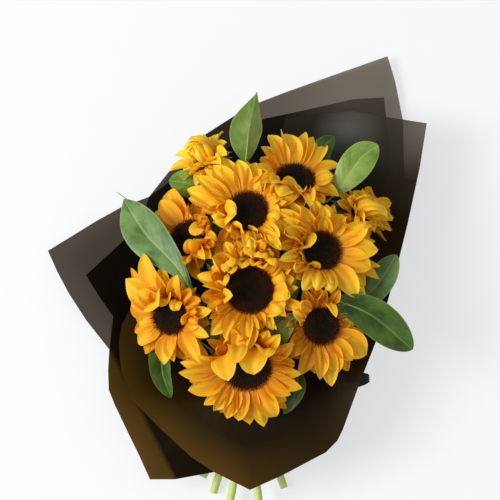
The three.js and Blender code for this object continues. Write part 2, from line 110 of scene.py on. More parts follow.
def seen(point):
    """Where a point is in the frame, in steps right and up from its middle."""
    away = point - VIEW_TARGET
    shrink = VIEW_DISTANCE / (VIEW_DISTANCE - away.dot(VIEW_BACK))
    return arr(away[0], away.dot(VIEW_UP)) * shrink / VIEW_STEP


# ---- the bunch's measures ------------------------------------------------------------------------

STEM_RADIUS = 4.5
TWIG_RADIUS = 2.0
TIE_X, TIE_Y, TIE_Z = -3.0, -149.0, 37.0
TIE_RADIUS = 22.3
NECK_START = TIE_Y - 12
NECK_END = TIE_Y + 10
NECK_ROOM = 3.0  # the stems run straight for this much longer than the film's neck
FIRST_FILM_RADIUS = 24.3
FILM_PITCH = 1.35
SHEET_LAYERS = 5
RIBBON_Y = TIE_Y - 6
RIBBON_WIDTH = 10.0
RIBBON_THICKNESS = 0.5
BOW_WIDTH = 24.0
KNOT_CENTRE = arr(33.3, -155, 40)
KNOT_SIZE = arr(7, 13, 15)
CUP_TOP = 8.3  # depth of the green cup's upper edge below the disc
CUP_DEPTH = 17.0

# Some heads carry a number: above 0 it paints their petals more orange, as painted shade, and below 0 more lemon, as
# painted light.
FLOWERS = {
    "left_back": dict(
        centre=(-71, 17, 122), facing=(-0.40, 0.25, 0.88), disc=22, reach=56, painted_shade=0.8,
        cut=(-55, -247, 18), tied=(-12.7, 32), route=[(-18, -110, 33), (-34, -45, 42)],
    ),
    "top_middle": dict(
        centre=(-3, 44, 142), facing=(0, 0.12, 0.99), disc=23, reach=60,
        cut=(-24, -280, 17), tied=(-3, 32), route=[(-3, -100, 34), (-3, -20, 42), (-3, 20, 58)],
    ),
    "top_right": dict(
        centre=(52, 87, 120), facing=(0.15, 0.55, 0.82), disc=22, reach=56,
        cut=(-6, -240, 6), tied=(-3, 22.5), route=[(0, -100, 23), (14, 0, 30), (36, 40, 48)],
    ),
    "top_left": dict(
        centre=(-52, 113, 98), facing=(-0.45, 0.65, 0.61), disc=11, reach=42, size=0.8, painted_shade=-0.8,
        cut=(-43, -265, 4.8), tied=(-12.7, 22.5), route=[(-14, -100, 20), (-18, 0, 22), (-22, 50, 40)],
    ),
    "centre": dict(
        centre=(0, -47, 152), facing=(0.02, -0.05, 1), disc=26.5, reach=64,
        cut=(11, -282, 28), tied=(-3, 41.5), route=[(-3, -110, 47), (-2, -65, 62)],
    ),
    "right_middle": dict(
        centre=(81, 0, 136), facing=(0.22, 0.02, 0.975), disc=21.5, reach=58,
        cut=(22, -236, 22), tied=(6.7, 32), route=[(14, -110, 35), (44, -45, 46)],
    ),
    "right_front": dict(
        centre=(80, -85, 132), facing=(0.25, -0.30, 0.92), disc=21, reach=58,
        cut=(34, -238, 32), tied=(6.7, 41.5), route=[(12, -125, 44), (38, -90, 58)],
    ),
    "left_front": dict(
        centre=(-90, -73, 128), facing=(-0.35, -0.15, 0.925), disc=20.5, reach=56,
        cut=(-44, -232, 32), tied=(-12.7, 41.5), route=[(-16, -125, 44), (-40, -90, 58)],
    ),
    "front": dict(
        centre=(-4, -131, 128), facing=(0, -0.50, 0.866), disc=27, reach=64,
        cut=(-14, -236, 44), tied=(-3, 51), route=[(-3, -122, 57)],
    ),
    "far_right": dict(
        centre=(128, 51, 102), facing=(0.72, 0.25, 0.65), disc=12, reach=43, size=0.8, painted_shade=-0.25,
        cut=(40, -259, 4.8), tied=(6.7, 22.5), route=[(15, -100, 23.5), (48, -20, 36)],
    ),
}

TWIGS = {
    "back_left": dict(
        cut=(-66, -240, 8), tied=(-19.9, 27.5),
        route=[(-24, -100, 26), (-30, 0, 30), (-34, 50, 55), (-16, 86, 98)],
    ),
    "front_left": dict(
        cut=(-26, -228, 48), tied=(-10.2, 50.5),
        route=[(-16, -128, 62), (-30, -102, 78), (-40, -86, 102)],
    ),
    "front_right": dict(
        cut=(10, -230, 46), tied=(4.2, 50.5),
        route=[(14, -128, 60), (45, -110, 70), (72, -96, 82), (92, -84, 92)],
    ),
    "back_right": dict(
        cut=(46, -240, 14), tied=(13.9, 27.5),
        route=[(34, -80, 27), (58, -24, 44), (68, 22, 72), (80, 60, 92)],
    ),
}

LEAVES = {
    "top_middle": dict(
        twig="back_left", at=1, width=42, tone="fresh", across=(1, 0, -0.6),
        rib=[(-6, 101, 122), (-1, 138, 140), (8, 180, 150)],
    ),
    # This leaf has the bright tone as painted light, as it lies in the shade of the bud above it.
    "top_left_small": dict(
        twig="back_left", at=0.84, width=31, tone="bright", across=(0.5, 0.8, 0.1),
        rib=[(-53, 74, 74), (-70, 87, 87), (-94, 90, 92)],
    ),
    "left_long": dict(
        twig="front_left", at=1, width=46, tone="cool", across=(0.8, 0.6, 0.2),
        rib=[(-48, -76, 122), (-60, -56, 141), (-80, -22, 141), (-117, 20, 125), (-145, 65, 106)],
        thread=[(-126.5, 35, 119.3), (-126, 47, 115.5), (-139, 62, 112.5), (-152, 72, 112)],
    ),
    "bottom_left": dict(
        twig="front_left", at=0.62, width=25, tone="deep", across=(1, 0.1, 0.2),
        rib=[(-66, -94, 88), (-97, -108, 101), (-99, -132, 104), (-89, -162, 98)],
    ),
    "right_long": dict(
        twig="front_right", at=1, width=42, tone="deep", across=(0.3, 0.9, 0.2),
        rib=[(84, -54, 132), (108, -59, 126), (138, -72, 120), (183, -109, 112)],
    ),
    "right_back": dict(
        twig="front_right", at=0.86, width=33, tone="cool", across=(0.7, -0.7, 0.1),
        rib=[(104, -74, 78), (124, -52, 87), (144, -34, 95), (168, 2, 98)],
    ),
    "middle_small": dict(
        twig="front_right", at=0.58, width=20, tone="bright", across=(0.7, -0.7, 0.1),
        rib=[(38, -104, 98), (34, -97, 130), (54, -68, 144)],
    ),
    "bottom_right": dict(
        twig="front_right", at=0.6, width=18, tone="deep", across=(0.9, -0.4, 0.1),
        rib=[(47, -124, 88), (54, -150, 97), (38, -180, 94)],
    ),
    "right_upper": dict(
        twig="back_right", at=1, width=37, tone="bright", across=(0.6, -0.8, 0),
        rib=[(92, 66, 106), (108, 85, 118), (129, 112, 121), (147, 126, 118)],
    ),
    "top_right_hidden": dict(
        twig="back_right", at=0.94, width=26, tone="deep", across=(0.8, -0.6, 0),
        rib=[(78, 92, 84), (82, 126, 84), (98, 146, 80)],
    ),
}

# Each sheet's free rim, listed clockwise as seen from above. Order 0 is the innermost sheet.
SHEETS = {
    "front_sheet": dict(
        order=0, lead=48, lift=36, tint="front",
        rim=[
            (42, 181, 30), (84, 184, 38), (122, 184, 46), (163, 175, 54), (209, 166, 60), (199, 111, 70),
            (183, 42, 78), (168, -15, 84), (146, -91, 88), (125, -143, 88), (105, -197, 84),
            (99, -209, 82), (86, -222, 80), (36, -248, 75), (0, -264, 72), (-41, -244, 75),
            (-67, -227, 78), (-103, -194, 83), (-134, -163, 87), (-146, -130, 91), (-149, -100, 94),
            (-146, -80, 96), (-134, -55, 98),
        ],
    ),
    "front_left_sheet": dict(
        order=1, lead=20, lift=29, tint="front_left",
        rim=[
            (-11, -236, 52), (-41, -243, 48), (-86, -251, 44), (-115, -251, 42), (-128, -223, 44),
            (-141, -197, 46), (-156, -166, 50), (-163, -149, 52), (-164, -127, 53), (-163, -103, 54),
            (-159, -63, 55), (-137, -40, 56),
        ],
    ),
    "back_inner_sheet": dict(
        order=1, lead=10, lift=0, tint="back_inner",
        rim=[
            (-30, 145, 11), (17, 184, 12), (78, 197, 14), (124, 207, 16), (162, 208, 20),
            (169, 144, 16), (170, 60, 13),
        ],
    ),
    "left_inner_sheet": dict(
        order=2, lead=8, lift=0, tint="inner",
        rim=[
            (-140, -90, 26), (-162, -59, 28), (-179, -35, 28), (-194, -11, 28), (-153, 29, 25),
            (-119, 63, 22), (-60, 120, 14),
        ],
    ),
    "left_sheet": dict(
        order=3, lead=6, lift=0, tint="left",
        rim=[
            (-147, -128, 17), (-166, -98, 17), (-194, -63, 18), (-215, -31, 20), (-229, -5, 22),
            (-240, 19, 24), (-184, 57, 15), (-154, 75, 12), (-121, 88, 9), (-70, 128, 6),
        ],
    ),
    "back_sheet": dict(
        order=4, lead=4, lift=0, on_surface=True, tint="back",
        rim=[
            (-140, 30, 0), (-122, 90, 0), (-98, 121, 0), (-54, 167, 0), (0, 203, 0), (43, 220, 2),
            (88, 236, 4), (168, 263, 8), (177, 232, 6), (186, 184, 4), (187, 116, 1), (187, 48, 0),
            (160, -30, 0),
        ],
    ),
}
BED_START = 0.4  # share of a ruling after which the back sheet lies flat on the surface
BED_END = 0.8
FILM_BOWL, FRONT_BOWL = 1.5, 0.8  # powers of a ruling's rise, behind the stems and in front of them
FLARE_END, FLARE_SPREAD = 0.35, 0.25  # how soon a ruling leaves the neck and how far it is on its way halfway
FILM_BOW = 0.6  # share of a sheet's lift that the middle of a ruling takes

BOW_STRIPS = {
    "ribbon_loop_right": dict(
        across=(0, 1, 0),
        line=[
            (37.8, -154, 45.5), (62, -150, 52), (100, -143, 60), (130, -137, 66), (138, -136, 60),
            (128, -137, 52), (80, -146, 42), (37.8, -155, 41.5),
        ],
    ),
    "ribbon_loop_front": dict(
        across=(0.5, 0.45, 0.75),
        line=[
            (38.6, -160.4, 35.5), (57, -175, 38), (74, -194, 34), (80, -203, 24), (72, -199, 16),
            (58, -182, 20), (40, -165, 30),
        ],
    ),
    "ribbon_tail_long": dict(
        across=(0.9, 0.4, 0),
        line=[(32.5, -162.5, 33), (33, -171, 19), (41, -186, 8), (50, -203, 3), (58, -219, 1.6)],
    ),
    "ribbon_tail_short": dict(
        across=(0.2, 0.95, 0),
        line=[(37.8, -151.5, 34), (50, -151, 24), (68, -153, 12), (88, -157, 3.5), (104, -160, 1.6)],
    ),
}


# ---- smooth curves through points ----------------------------------------------------------------


def curve_point(points, t):
    """The centripetal Catmull-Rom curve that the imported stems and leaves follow, at t from 0 to 1."""
    last = len(points) - 1
    place = last * t
    i = min(int(place), last - 1)
    weight = place - i
    p1, p2 = points[i], points[i + 1]
    p0 = points[i - 1] if i > 0 else 2 * points[0] - points[1]
    p3 = points[i + 2] if i + 2 <= last else 2 * points[last] - points[last - 1]
    d0, d1, d2 = (max(np.linalg.norm(b - a) ** 0.5, 1e-4) for a, b in ((p0, p1), (p1, p2), (p2, p3)))
    t1 = ((p1 - p0) / d0 - (p2 - p0) / (d0 + d1) + (p2 - p1) / d1) * d1
    t2 = ((p2 - p1) / d1 - (p3 - p1) / (d1 + d2) + (p3 - p2) / d2) * d1
    c2 = -3 * p1 + 3 * p2 - 2 * t1 - t2
    c3 = 2 * p1 - 2 * p2 + t1 + t2
    return p1 + t1 * weight + c2 * weight ** 2 + c3 * weight ** 3


class Curve:
    """A smooth curve with points at even shares of its length."""

    def __init__(self, points, fine=240):
        points = [np.asarray(p, dtype=float) for p in points]
        self.fine = np.array([curve_point(points, i / fine) for i in range(fine + 1)])
        steps = np.linalg.norm(np.diff(self.fine, axis=0), axis=1)
        self.lengths = np.concatenate([[0], np.cumsum(steps)])
        self.length = self.lengths[-1]

    def at(self, shares):
        wanted = np.clip(np.asarray(shares, dtype=float), 0, 1) * self.length
        return np.stack([np.interp(wanted, self.lengths, self.fine[:, k]) for k in range(3)], axis=-1)

    def along(self, shares):
        shares = np.atleast_1d(np.asarray(shares, dtype=float))
        step = 0.004
        ahead, behind = self.at(np.minimum(shares + step, 1)), self.at(np.maximum(shares - step, 0))
        way = ahead - behind
        return way / np.linalg.norm(way, axis=-1, keepdims=True)


def tied_route(piece):
    x, z = piece["tied"]
    neck = [(x, NECK_START - NECK_ROOM, z), (x, TIE_Y + NECK_ROOM, z)]
    return [piece["cut"], *neck, *piece["route"]]


# ---- meshes from grids of points -----------------------------------------------------------------

EVEN = (0.5, 0.5)  # the tone of a piece that has no tones of its own


def turns(count):
    """Even angles round a circle."""
    return np.arange(count) / count * 2 * math.pi


def circle(a, b, angles):
    """Points round a circle of radius 1, across the two ways a and b."""
    return np.cos(angles)[:, None] * a + np.sin(angles)[:, None] * b


def spread(offsets, ways):
    """Moves for rows of points: each row's offsets, along the row's own way."""
    return offsets[:, :, None] * ways[:, None, :]


def across_line(way, flat):
    """The ways aside and up at each point of a strip that lies as near to flat as its line lets it."""
    side = flat[None, :] - way * (way @ flat)[:, None]
    side /= np.linalg.norm(side, axis=1, keepdims=True)
    return side, np.cross(side, way)


def cross_frames(centres):
    """Two unit vectors across a line at each of its points, turning as little as they can."""
    ways = np.gradient(centres, axis=0)
    ways /= np.linalg.norm(ways, axis=1, keepdims=True)
    side = np.cross(ways[0], arr(0, 0, 1) if abs(ways[0][2]) < 0.9 else arr(1, 0, 0))
    firsts = []
    for way in ways:
        side = unit(side - way * side.dot(way))
        firsts.append(side)
    firsts = np.array(firsts)
    return firsts, np.cross(ways, firsts)


class Mesh:
    """Collects grids of points, in millimetres, into one Blender mesh with UVs and a tone per grid."""

    def __init__(self):
        self.points, self.faces, self.uvs, self.tones, self.slots = [], [], [], [], []
        self.count = 0

    def add_points(self, points):
        points = np.asarray(points, dtype=float).reshape(-1, 3)
        first = self.count
        self.points.append(points)
        self.count += len(points)
        return first

    def add_face(self, corners, uvs, tone, slot):
        self.faces.append(corners)
        self.uvs.extend(uvs)
        self.tones.extend([tone] * len(corners))
        self.slots.append(slot)

    def grid(self, points, ring=False, tone=EVEN, slot=0):
        """points is rows x columns x 3. A ring's last column joins its first."""
        rows, columns = points.shape[:2]
        first = self.add_points(points)
        spans = columns if ring else columns - 1
        for i in range(rows - 1):
            for j in range(spans):
                k = (j + 1) % columns
                corners = [first + a * columns + b for a, b in ((i, j), (i, k), (i + 1, k), (i + 1, j))]
                u0, u1, v0, v1 = j / spans, (j + 1) / spans, i / (rows - 1), (i + 1) / (rows - 1)
                self.add_face(corners, [(u0, v0), (u1, v0), (u1, v1), (u0, v1)], tone, slot)
        return first

    def cap(self, first, count, middle, tone=EVEN, slot=0, flip=False):
        """Closes a ring of points with a fan to its middle."""
        centre = self.add_points([middle])
        for j in range(count):
            a, b = first + j, first + (j + 1) % count
            corners = [b, a, centre] if flip else [a, b, centre]
            self.add_face(corners, [(0, 0), (1, 0), (0.5, 1)], tone, slot)

    def tube(self, centres, radii, sides, slot=0, ribs=0, rib_height=0.0):
        """A closed tube with ribs along it."""
        a, b = cross_frames(centres)
        angles = turns(sides)
        swell = 1 + rib_height * np.cos(ribs * angles)
        ring = np.cos(angles)[None, :, None] * a[:, None, :] + np.sin(angles)[None, :, None] * b[:, None, :]
        radii = np.broadcast_to(np.asarray(radii, dtype=float), (len(centres),))
        points = centres[:, None, :] + ring * (radii[:, None] * swell[None, :])[:, :, None]
        first = self.grid(points, ring=True, slot=slot)
        self.cap(first, sides, centres[0], slot=slot, flip=True)
        self.cap(first + (len(centres) - 1) * sides, sides, centres[-1], slot=slot)

    def build(self, name, materials):
        mesh = bpy.data.meshes.new(name)
        mesh.from_pydata(world(np.concatenate(self.points)).tolist(), [], self.faces)
        uv = mesh.uv_layers.new(name="surface")
        uv.data.foreach_set("uv", np.asarray(self.uvs, dtype=np.float32).ravel())
        tone = mesh.uv_layers.new(name="tone")
        tone.data.foreach_set("uv", np.asarray(self.tones, dtype=np.float32).ravel())
        for material in materials:
            mesh.materials.append(material)
        mesh.polygons.foreach_set("material_index", self.slots)
        mesh.polygons.foreach_set("use_smooth", [True] * len(self.faces))
        mesh.update()
        piece = bpy.data.objects.new(name, mesh)
        bpy.context.collection.objects.link(piece)
        return piece


def stand_for(node, slot, mesh, ending, *materials):
    """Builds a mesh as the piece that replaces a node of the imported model."""
    piece = mesh.build(f"{node}_{ending}", materials)
    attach(piece, "root")
    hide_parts(node)
    return piece


# ---- materials -----------------------------------------------------------------------------------


def colour(r, g, b):
    """A screen colour, 0 to 255, as Blender's linear colour."""
    linear = [c / 255 / 12.92 if c <= 10 else ((c / 255 + 0.055) / 1.055) ** 2.4 for c in (r, g, b)]
    return (*linear, 1.0)


class Shader:
    """A material's node tree, with short calls for the nodes used here."""

    def __init__(self, name):
        self.material = bpy.data.materials.new(name)
        self.material.use_nodes = True
        self.tree = self.material.node_tree
        self.tree.nodes.clear()

    def put(self, socket, value):
        if isinstance(value, bpy.types.NodeSocket):
            self.tree.links.new(value, socket)
        elif value is not None:
            socket.default_value = value

    def node(self, kind, settings=(), **inputs):
        node = self.tree.nodes.new(kind)
        for key, value in dict(settings).items():
            setattr(node, key, value)
        for key, value in inputs.items():
            self.put(node.inputs[key.replace("_", " ")], value)
        return node

    def math(self, operation, a, b=None, c=None):
        node = self.node("ShaderNodeMath", {"operation": operation})
        for i, value in enumerate((a, b, c)):
            self.put(node.inputs[i], value)
        return node.outputs[0]

    def times(self, a, b):
        return self.math("MULTIPLY", a, b)

    def less(self, a, b):
        return self.math("SUBTRACT", a, b)

    def share(self, a, whole):
        return self.math("DIVIDE", a, whole)

    def apart(self, a, b):
        """How far two values are from each other."""
        return self.math("ABSOLUTE", self.less(a, b))

    def uv(self, layer):
        split = self.node("ShaderNodeSeparateXYZ", Vector=self.node("ShaderNodeUVMap", {"uv_map": layer}).outputs[0])
        return split.outputs[0], split.outputs[1]

    def vector(self, x, y, z=0.0):
        node = self.node("ShaderNodeCombineXYZ")
        for i, value in enumerate((x, y, z)):
            self.put(node.inputs[i], value)
        return node.outputs[0]

    def place(self):
        """The point on the piece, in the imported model's millimetres."""
        coordinates = self.node("ShaderNodeTexCoord").outputs["Object"]
        return self.node("ShaderNodeVectorMath", {"operation": "SCALE"}, Vector=coordinates, Scale=1 / MM).outputs[0]

    def near(self, point, reach, most):
        """How near a place on the piece is to a point, from 0 at reach millimetres to most."""
        distance = self.node("ShaderNodeVectorMath", {"operation": "DISTANCE"}, Vector=self.place())
        self.put(distance.inputs[1], point)
        return self.ramp(self.share(distance.outputs["Value"], reach), (0.15, most), (1.0, 0.0))

    def noise(self, vector, scale):
        return self.node("ShaderNodeTexNoise", Vector=vector, Scale=scale, Detail=3.0, Roughness=0.5).outputs["Fac"]

    def ramp(self, factor, *stops):
        node = self.node("ShaderNodeValToRGB", Fac=factor)
        ramp = node.color_ramp
        while len(ramp.elements) < len(stops):
            ramp.elements.new(0.5)
        for element, (place, value) in zip(ramp.elements, stops):
            element.position = place
            element.color = value if isinstance(value, tuple) else (value, value, value, 1.0)
        return node.outputs["Color"]

    def mix(self, factor, a, b):
        node = self.node("ShaderNodeMix", {"data_type": "RGBA"})
        self.put(node.inputs[0], factor)
        self.put(node.inputs[6], a)
        self.put(node.inputs[7], b)
        return node.outputs[2]

    def bump(self, height, strength, distance_mm):
        node = self.node("ShaderNodeBump", Height=height, Strength=strength, Distance=distance_mm * MM)
        return node.outputs[0]

    def principled(self, **inputs):
        return self.node("ShaderNodeBsdfPrincipled", **inputs).outputs[0]

    def translucent(self, **inputs):
        return self.node("ShaderNodeBsdfTranslucent", **inputs).outputs[0]

    def blend(self, factor, a, b):
        node = self.node("ShaderNodeMixShader")
        for i, value in enumerate((factor, a, b)):
            self.put(node.inputs[i], value)
        return node.outputs[0]

    def finish(self, surface):
        self.tree.links.new(surface, self.node("ShaderNodeOutputMaterial").inputs["Surface"])
        return self.material


def petal_material():
    s = Shader("petal")
    u, v = s.uv("surface")
    tone, depth = s.uv("tone")
    # Darker orange at the root: partly the ray's own colour, partly painted shade where the petals crowd the disc.
    shade = s.ramp(
        v, (0.0, colour(180, 82, 3)), (0.12, colour(230, 140, 10)), (0.42, colour(254, 194, 30)),
        (0.85, colour(255, 220, 50)), (1.0, colour(254, 210, 44)),
    )
    streaks = s.noise(s.vector(s.times(u, 16.0), s.times(v, 1.6), s.times(tone, 40.0)), 1.0)
    shade = s.mix(s.ramp(streaks, (0.4, 0.0), (0.8, 0.4)), shade, colour(236, 144, 8))
    blotch = s.noise(s.place(), 0.05)
    shade = s.mix(s.ramp(blotch, (0.4, 0.0), (0.7, 0.45)), shade, colour(255, 220, 58))
    from_middle = s.apart(u, 0.5)
    # Darker along the two grooves, most towards the root: painted shade in the creases.
    groove_shade = s.ramp(s.apart(from_middle, 0.25), (0.0, 0.55), (0.09, 0.0))
    groove_shade = s.times(groove_shade, s.ramp(v, (0.0, 1.0), (0.8, 0.35), (1.0, 0.0)))
    shade = s.mix(groove_shade, shade, colour(216, 118, 4))
    # Painted shade and light: a petal of much depth is painted more orange, as shade, and one of depth below 0 more
    # lemon, as light.
    shade = s.mix(s.math("MAXIMUM", s.times(depth, 0.42), 0.0), shade, colour(220, 118, 4))
    shade = s.mix(s.math("MAXIMUM", s.times(depth, -0.7), 0.0), shade, colour(255, 232, 66))
    # A pale line along both edges: painted highlight, where light glows through the thin margins.
    shade = s.mix(s.ramp(from_middle, (0.43, 0.0), (0.49, 0.6)), shade, colour(255, 200, 70))
    fine = s.noise(s.vector(s.times(u, 60.0), s.times(v, 5.0), tone), 1.0)
    normal = s.bump(fine, 0.25, 0.3)
    body = s.principled(Base_Color=shade, Roughness=0.52, Specular_IOR_Level=0.22, Normal=normal)
    glow = s.translucent(Color=s.mix(0.5, shade, colour(255, 176, 16)), Normal=normal)
    return s.finish(s.blend(0.22, body, glow))


def floret_material():
    s = Shader("florets")
    radius, depth = s.uv("tone")
    shade = s.ramp(
        radius, (0.0, colour(24, 22, 12)), (0.35, colour(20, 15, 8)), (0.58, colour(44, 27, 13)),
        (0.8, colour(72, 33, 13)), (1.0, colour(116, 48, 14)),
    )
    grain = s.noise(s.place(), 0.7)
    shade = s.mix(s.ramp(grain, (0.5, 0.0), (0.72, 0.5)), shade, colour(70, 52, 34))
    shade = s.mix(s.ramp(depth, (0.6, 0.0), (1.0, 0.7)), shade, colour(6, 5, 4))
    normal = s.bump(s.noise(s.place(), 2.2), 0.5, 0.4)
    return s.finish(s.principled(Base_Color=shade, Roughness=0.75, Specular_IOR_Level=0.12, Normal=normal))


def stem_material():
    s = Shader("stalk")
    u, v = s.uv("surface")
    # Paler towards the cut end: painted light where the front film shades the stalks.
    pale = s.ramp(v, (0.12, 1.0), (0.4, 0.0))  # towards the cut end
    low = s.mix(pale, colour(138, 172, 62), colour(196, 214, 104))
    high = s.mix(pale, colour(186, 206, 112), colour(226, 234, 156))
    shade = s.mix(s.noise(s.place(), 0.12), low, high)
    lines = s.noise(s.vector(s.times(u, 40.0), s.times(v, 6.0)), 1.0)
    line = s.mix(pale, colour(112, 146, 52), colour(176, 196, 92))
    shade = s.mix(s.ramp(lines, (0.4, 0.0), (0.7, 0.5)), shade, line)
    body = s.principled(Base_Color=shade, Roughness=0.5, Normal=s.bump(lines, 0.4, 0.4))
    return s.finish(s.blend(0.12, body, s.translucent(Color=shade)))


def pith_material():
    s = Shader("pith")
    grain = s.noise(s.place(), 1.6)
    shade = s.mix(grain, colour(206, 214, 150), colour(232, 234, 196))
    return s.finish(s.principled(Base_Color=shade, Roughness=0.8, Normal=s.bump(grain, 0.5, 0.3)))


def bract_material():
    s = Shader("bract")
    u, v = s.uv("surface")
    shade = s.ramp(v, (0.0, colour(92, 122, 52)), (0.7, colour(70, 104, 44)), (1.0, colour(132, 150, 84)))
    shade = s.mix(s.ramp(s.noise(s.place(), 0.3), (0.4, 0.0), (0.7, 0.5)), shade, colour(48, 78, 34))
    normal = s.bump(s.noise(s.vector(s.times(u, 30.0), v), 1.0), 0.3, 0.3)
    body = s.principled(Base_Color=shade, Roughness=0.6, Normal=normal)
    return s.finish(s.blend(0.15, body, s.translucent(Color=shade)))


VEIN_PAIRS = 7  # of side veins in a leaf
VEIN_SLANT = 1.7  # how far towards the tip they run to the margin, in spaces between two of them


def leaf_material(name, light, dark, vein):
    s = Shader(name)
    u, v = s.uv("surface")
    across = s.apart(s.times(u, 2.0), 1.0)
    patches = s.noise(s.place(), 0.045)
    shade = s.mix(s.ramp(patches, (0.35, 0.0), (0.65, 1.0)), dark, light)
    cells = s.noise(s.place(), 0.7)
    shade = s.mix(s.ramp(cells, (0.4, 0.0), (0.7, 0.35)), shade, dark)
    phase = s.less(s.times(v, VEIN_PAIRS), s.times(across, VEIN_SLANT))
    side_veins = s.ramp(s.apart(s.math("FRACT", phase), 0.5), (0.0, 1.0), (0.045, 0.55), (0.1, 0.0))
    fade = s.ramp(across, (0.0, 1.0), (0.75, 0.6), (1.0, 0.0))
    midrib = s.ramp(across, (0.0, 1.0), (0.035, 0.9), (0.09, 0.0))
    veins = s.math("MAXIMUM", s.times(s.times(side_veins, fade), 0.3), midrib)
    shade = s.mix(s.times(veins, 0.5), shade, vein)
    shade = s.mix(s.ramp(across, (0.9, 0.0), (0.98, 0.5)), shade, vein)
    height = s.less(cells, s.times(veins, 0.8))
    body = s.principled(
        Base_Color=shade, Roughness=0.42, Specular_IOR_Level=0.45, Normal=s.bump(height, 0.35, 0.5),
    )
    return s.finish(s.blend(0.16, body, s.translucent(Color=s.mix(0.4, shade, colour(150, 180, 40)))))


FILM_HALF_WIDTH = 130.0  # to either side of the middle, where the film's shade changes from left to right
FILM_TOP, FILM_BOTTOM = 260.0, -200.0
# Places on the front sheet, in the imported model's millimetres: its upper right corner and the middle of its painted
# highlight.
FRONT_TIP = (224.5, 176.0, 60.0)
FRONT_HIGHLIGHT = (132.0, 169.0, 45.0)


def film_material(name, left_shade, right_shade, clear=None, fold=None):
    """Dark frosted film, duller on the left and painted browner there: painted light shining through from the left.

    clear is the share of light let through near the rim, with the stops of its change from left to right.
    Without it, light only comes through near FRONT_TIP. fold is a line, as a point and a way, right of which
    the film is painted black: painted shade, where the front sheet's raised edge shades the sheet under it.
    """
    s = Shader(name)
    x_here, y_here = s.node("ShaderNodeSeparateXYZ", Vector=s.place()).outputs[:2]
    side = s.share(s.math("ADD", x_here, FILM_HALF_WIDTH), 2 * FILM_HALF_WIDTH)
    shade = s.mix(s.ramp(side, (0.1, 0.0), (0.9, 1.0)), left_shade, right_shade)
    out = s.uv("surface")[0]  # 0 at the tie, 1 at the rim
    if not clear:
        # Painted light: a brown glow near the rim, towards the front and the left, where the sheet's edge catches the
        # light.
        front = s.ramp(s.share(y_here, FILM_BOTTOM), (0.2, 0.0), (0.75, 1.0))
        rim = s.mix(front, left_shade, colour(96, 70, 26))
        rim_glow = s.times(s.ramp(out, (0.8, 0.0), (1.0, 0.7)), s.ramp(side, (0.5, 1.0), (0.82, 0.2)))
        shade = s.mix(rim_glow, shade, rim)
    # Greyer towards the upper right: a painted highlight, the soft light's reflection in the film.
    to_right = s.ramp(side, (0.7, 0.0), (1.0, 1.0))
    to_top = s.ramp(s.share(y_here, FILM_TOP), (0.2, 0.0), (0.75, 0.8))
    shade = s.mix(s.times(to_right, to_top), shade, colour(60, 58, 52))
    if not clear:
        # A pale patch on the front sheet: a painted highlight.
        shade = s.mix(s.near(FRONT_HIGHLIGHT, 44.0, 0.85), shade, colour(88, 87, 81))
    haze = s.noise(s.place(), 0.012)
    shade = s.mix(s.ramp(haze, (0.3, 0.0), (0.8, 0.35)), shade, colour(4, 3, 2))
    # Painted shade: right of this line the film is black, shaded by the front sheet's raised edge.
    if fold:
        (x, y), (east, north) = fold
        x, y = x + ORIGIN_SHIFT[0], y + ORIGIN_SHIFT[1]
        past = s.math("MULTIPLY_ADD", y_here, east, north * x - east * y)
        past = s.math("MULTIPLY_ADD", x_here, -north, past)
        shade = s.mix(s.ramp(s.share(past, 6.0), (0.0, 0.0), (1.0, 0.98)), shade, colour(3, 3, 3))
    normal = s.bump(s.noise(s.place(), 0.9), 0.06, 0.2)
    body = s.principled(
        Base_Color=shade, Roughness=0.38, Specular_IOR_Level=s.ramp(side, (0.1, 0.02), (0.9, 0.06)), Normal=normal,
    )
    skin = s.blend(0.1, body, s.translucent(Color=colour(92, 62, 14)))
    through = s.node("ShaderNodeBsdfTransparent", Color=colour(255, 240, 220)).outputs[0]
    if not clear:
        return s.finish(s.blend(s.near(FRONT_TIP, 75.0, 0.13), skin, through))
    most, *stops = clear
    thin = s.times(s.ramp(out, (0.72, 0.0), (0.84, most)), s.ramp(side, *stops))  # thicker towards the tie
    return s.finish(s.blend(thin, skin, through))


def ribbon_material():
    s = Shader("ribbon")
    u, v = s.uv("surface")
    weave = s.noise(s.vector(s.times(u, 30.0), s.times(v, 220.0)), 1.0)
    shade = s.mix(weave, colour(12, 11, 10), colour(30, 27, 25))
    return s.finish(s.principled(
        Base_Color=shade, Roughness=0.4, Specular_IOR_Level=0.25, Sheen_Weight=0.05, Normal=s.bump(weave, 0.25, 0.15),
    ))


def twine_material():
    s = Shader("twine")
    u, v = s.uv("surface")
    twist = s.math("FRACT", s.math("ADD", s.times(v, 260.0), s.times(u, 2.0)))
    strand = s.ramp(twist, (0.0, 0.1), (0.5, 1.0), (1.0, 0.1))
    fibre = s.noise(s.place(), 3.0)
    shade = s.mix(strand, colour(150, 116, 70), colour(208, 178, 128))
    shade = s.mix(s.ramp(fibre, (0.4, 0.0), (0.7, 0.4)), shade, colour(120, 92, 54))
    return s.finish(s.principled(Base_Color=shade, Roughness=0.85, Normal=s.bump(strand, 0.6, 0.4)))


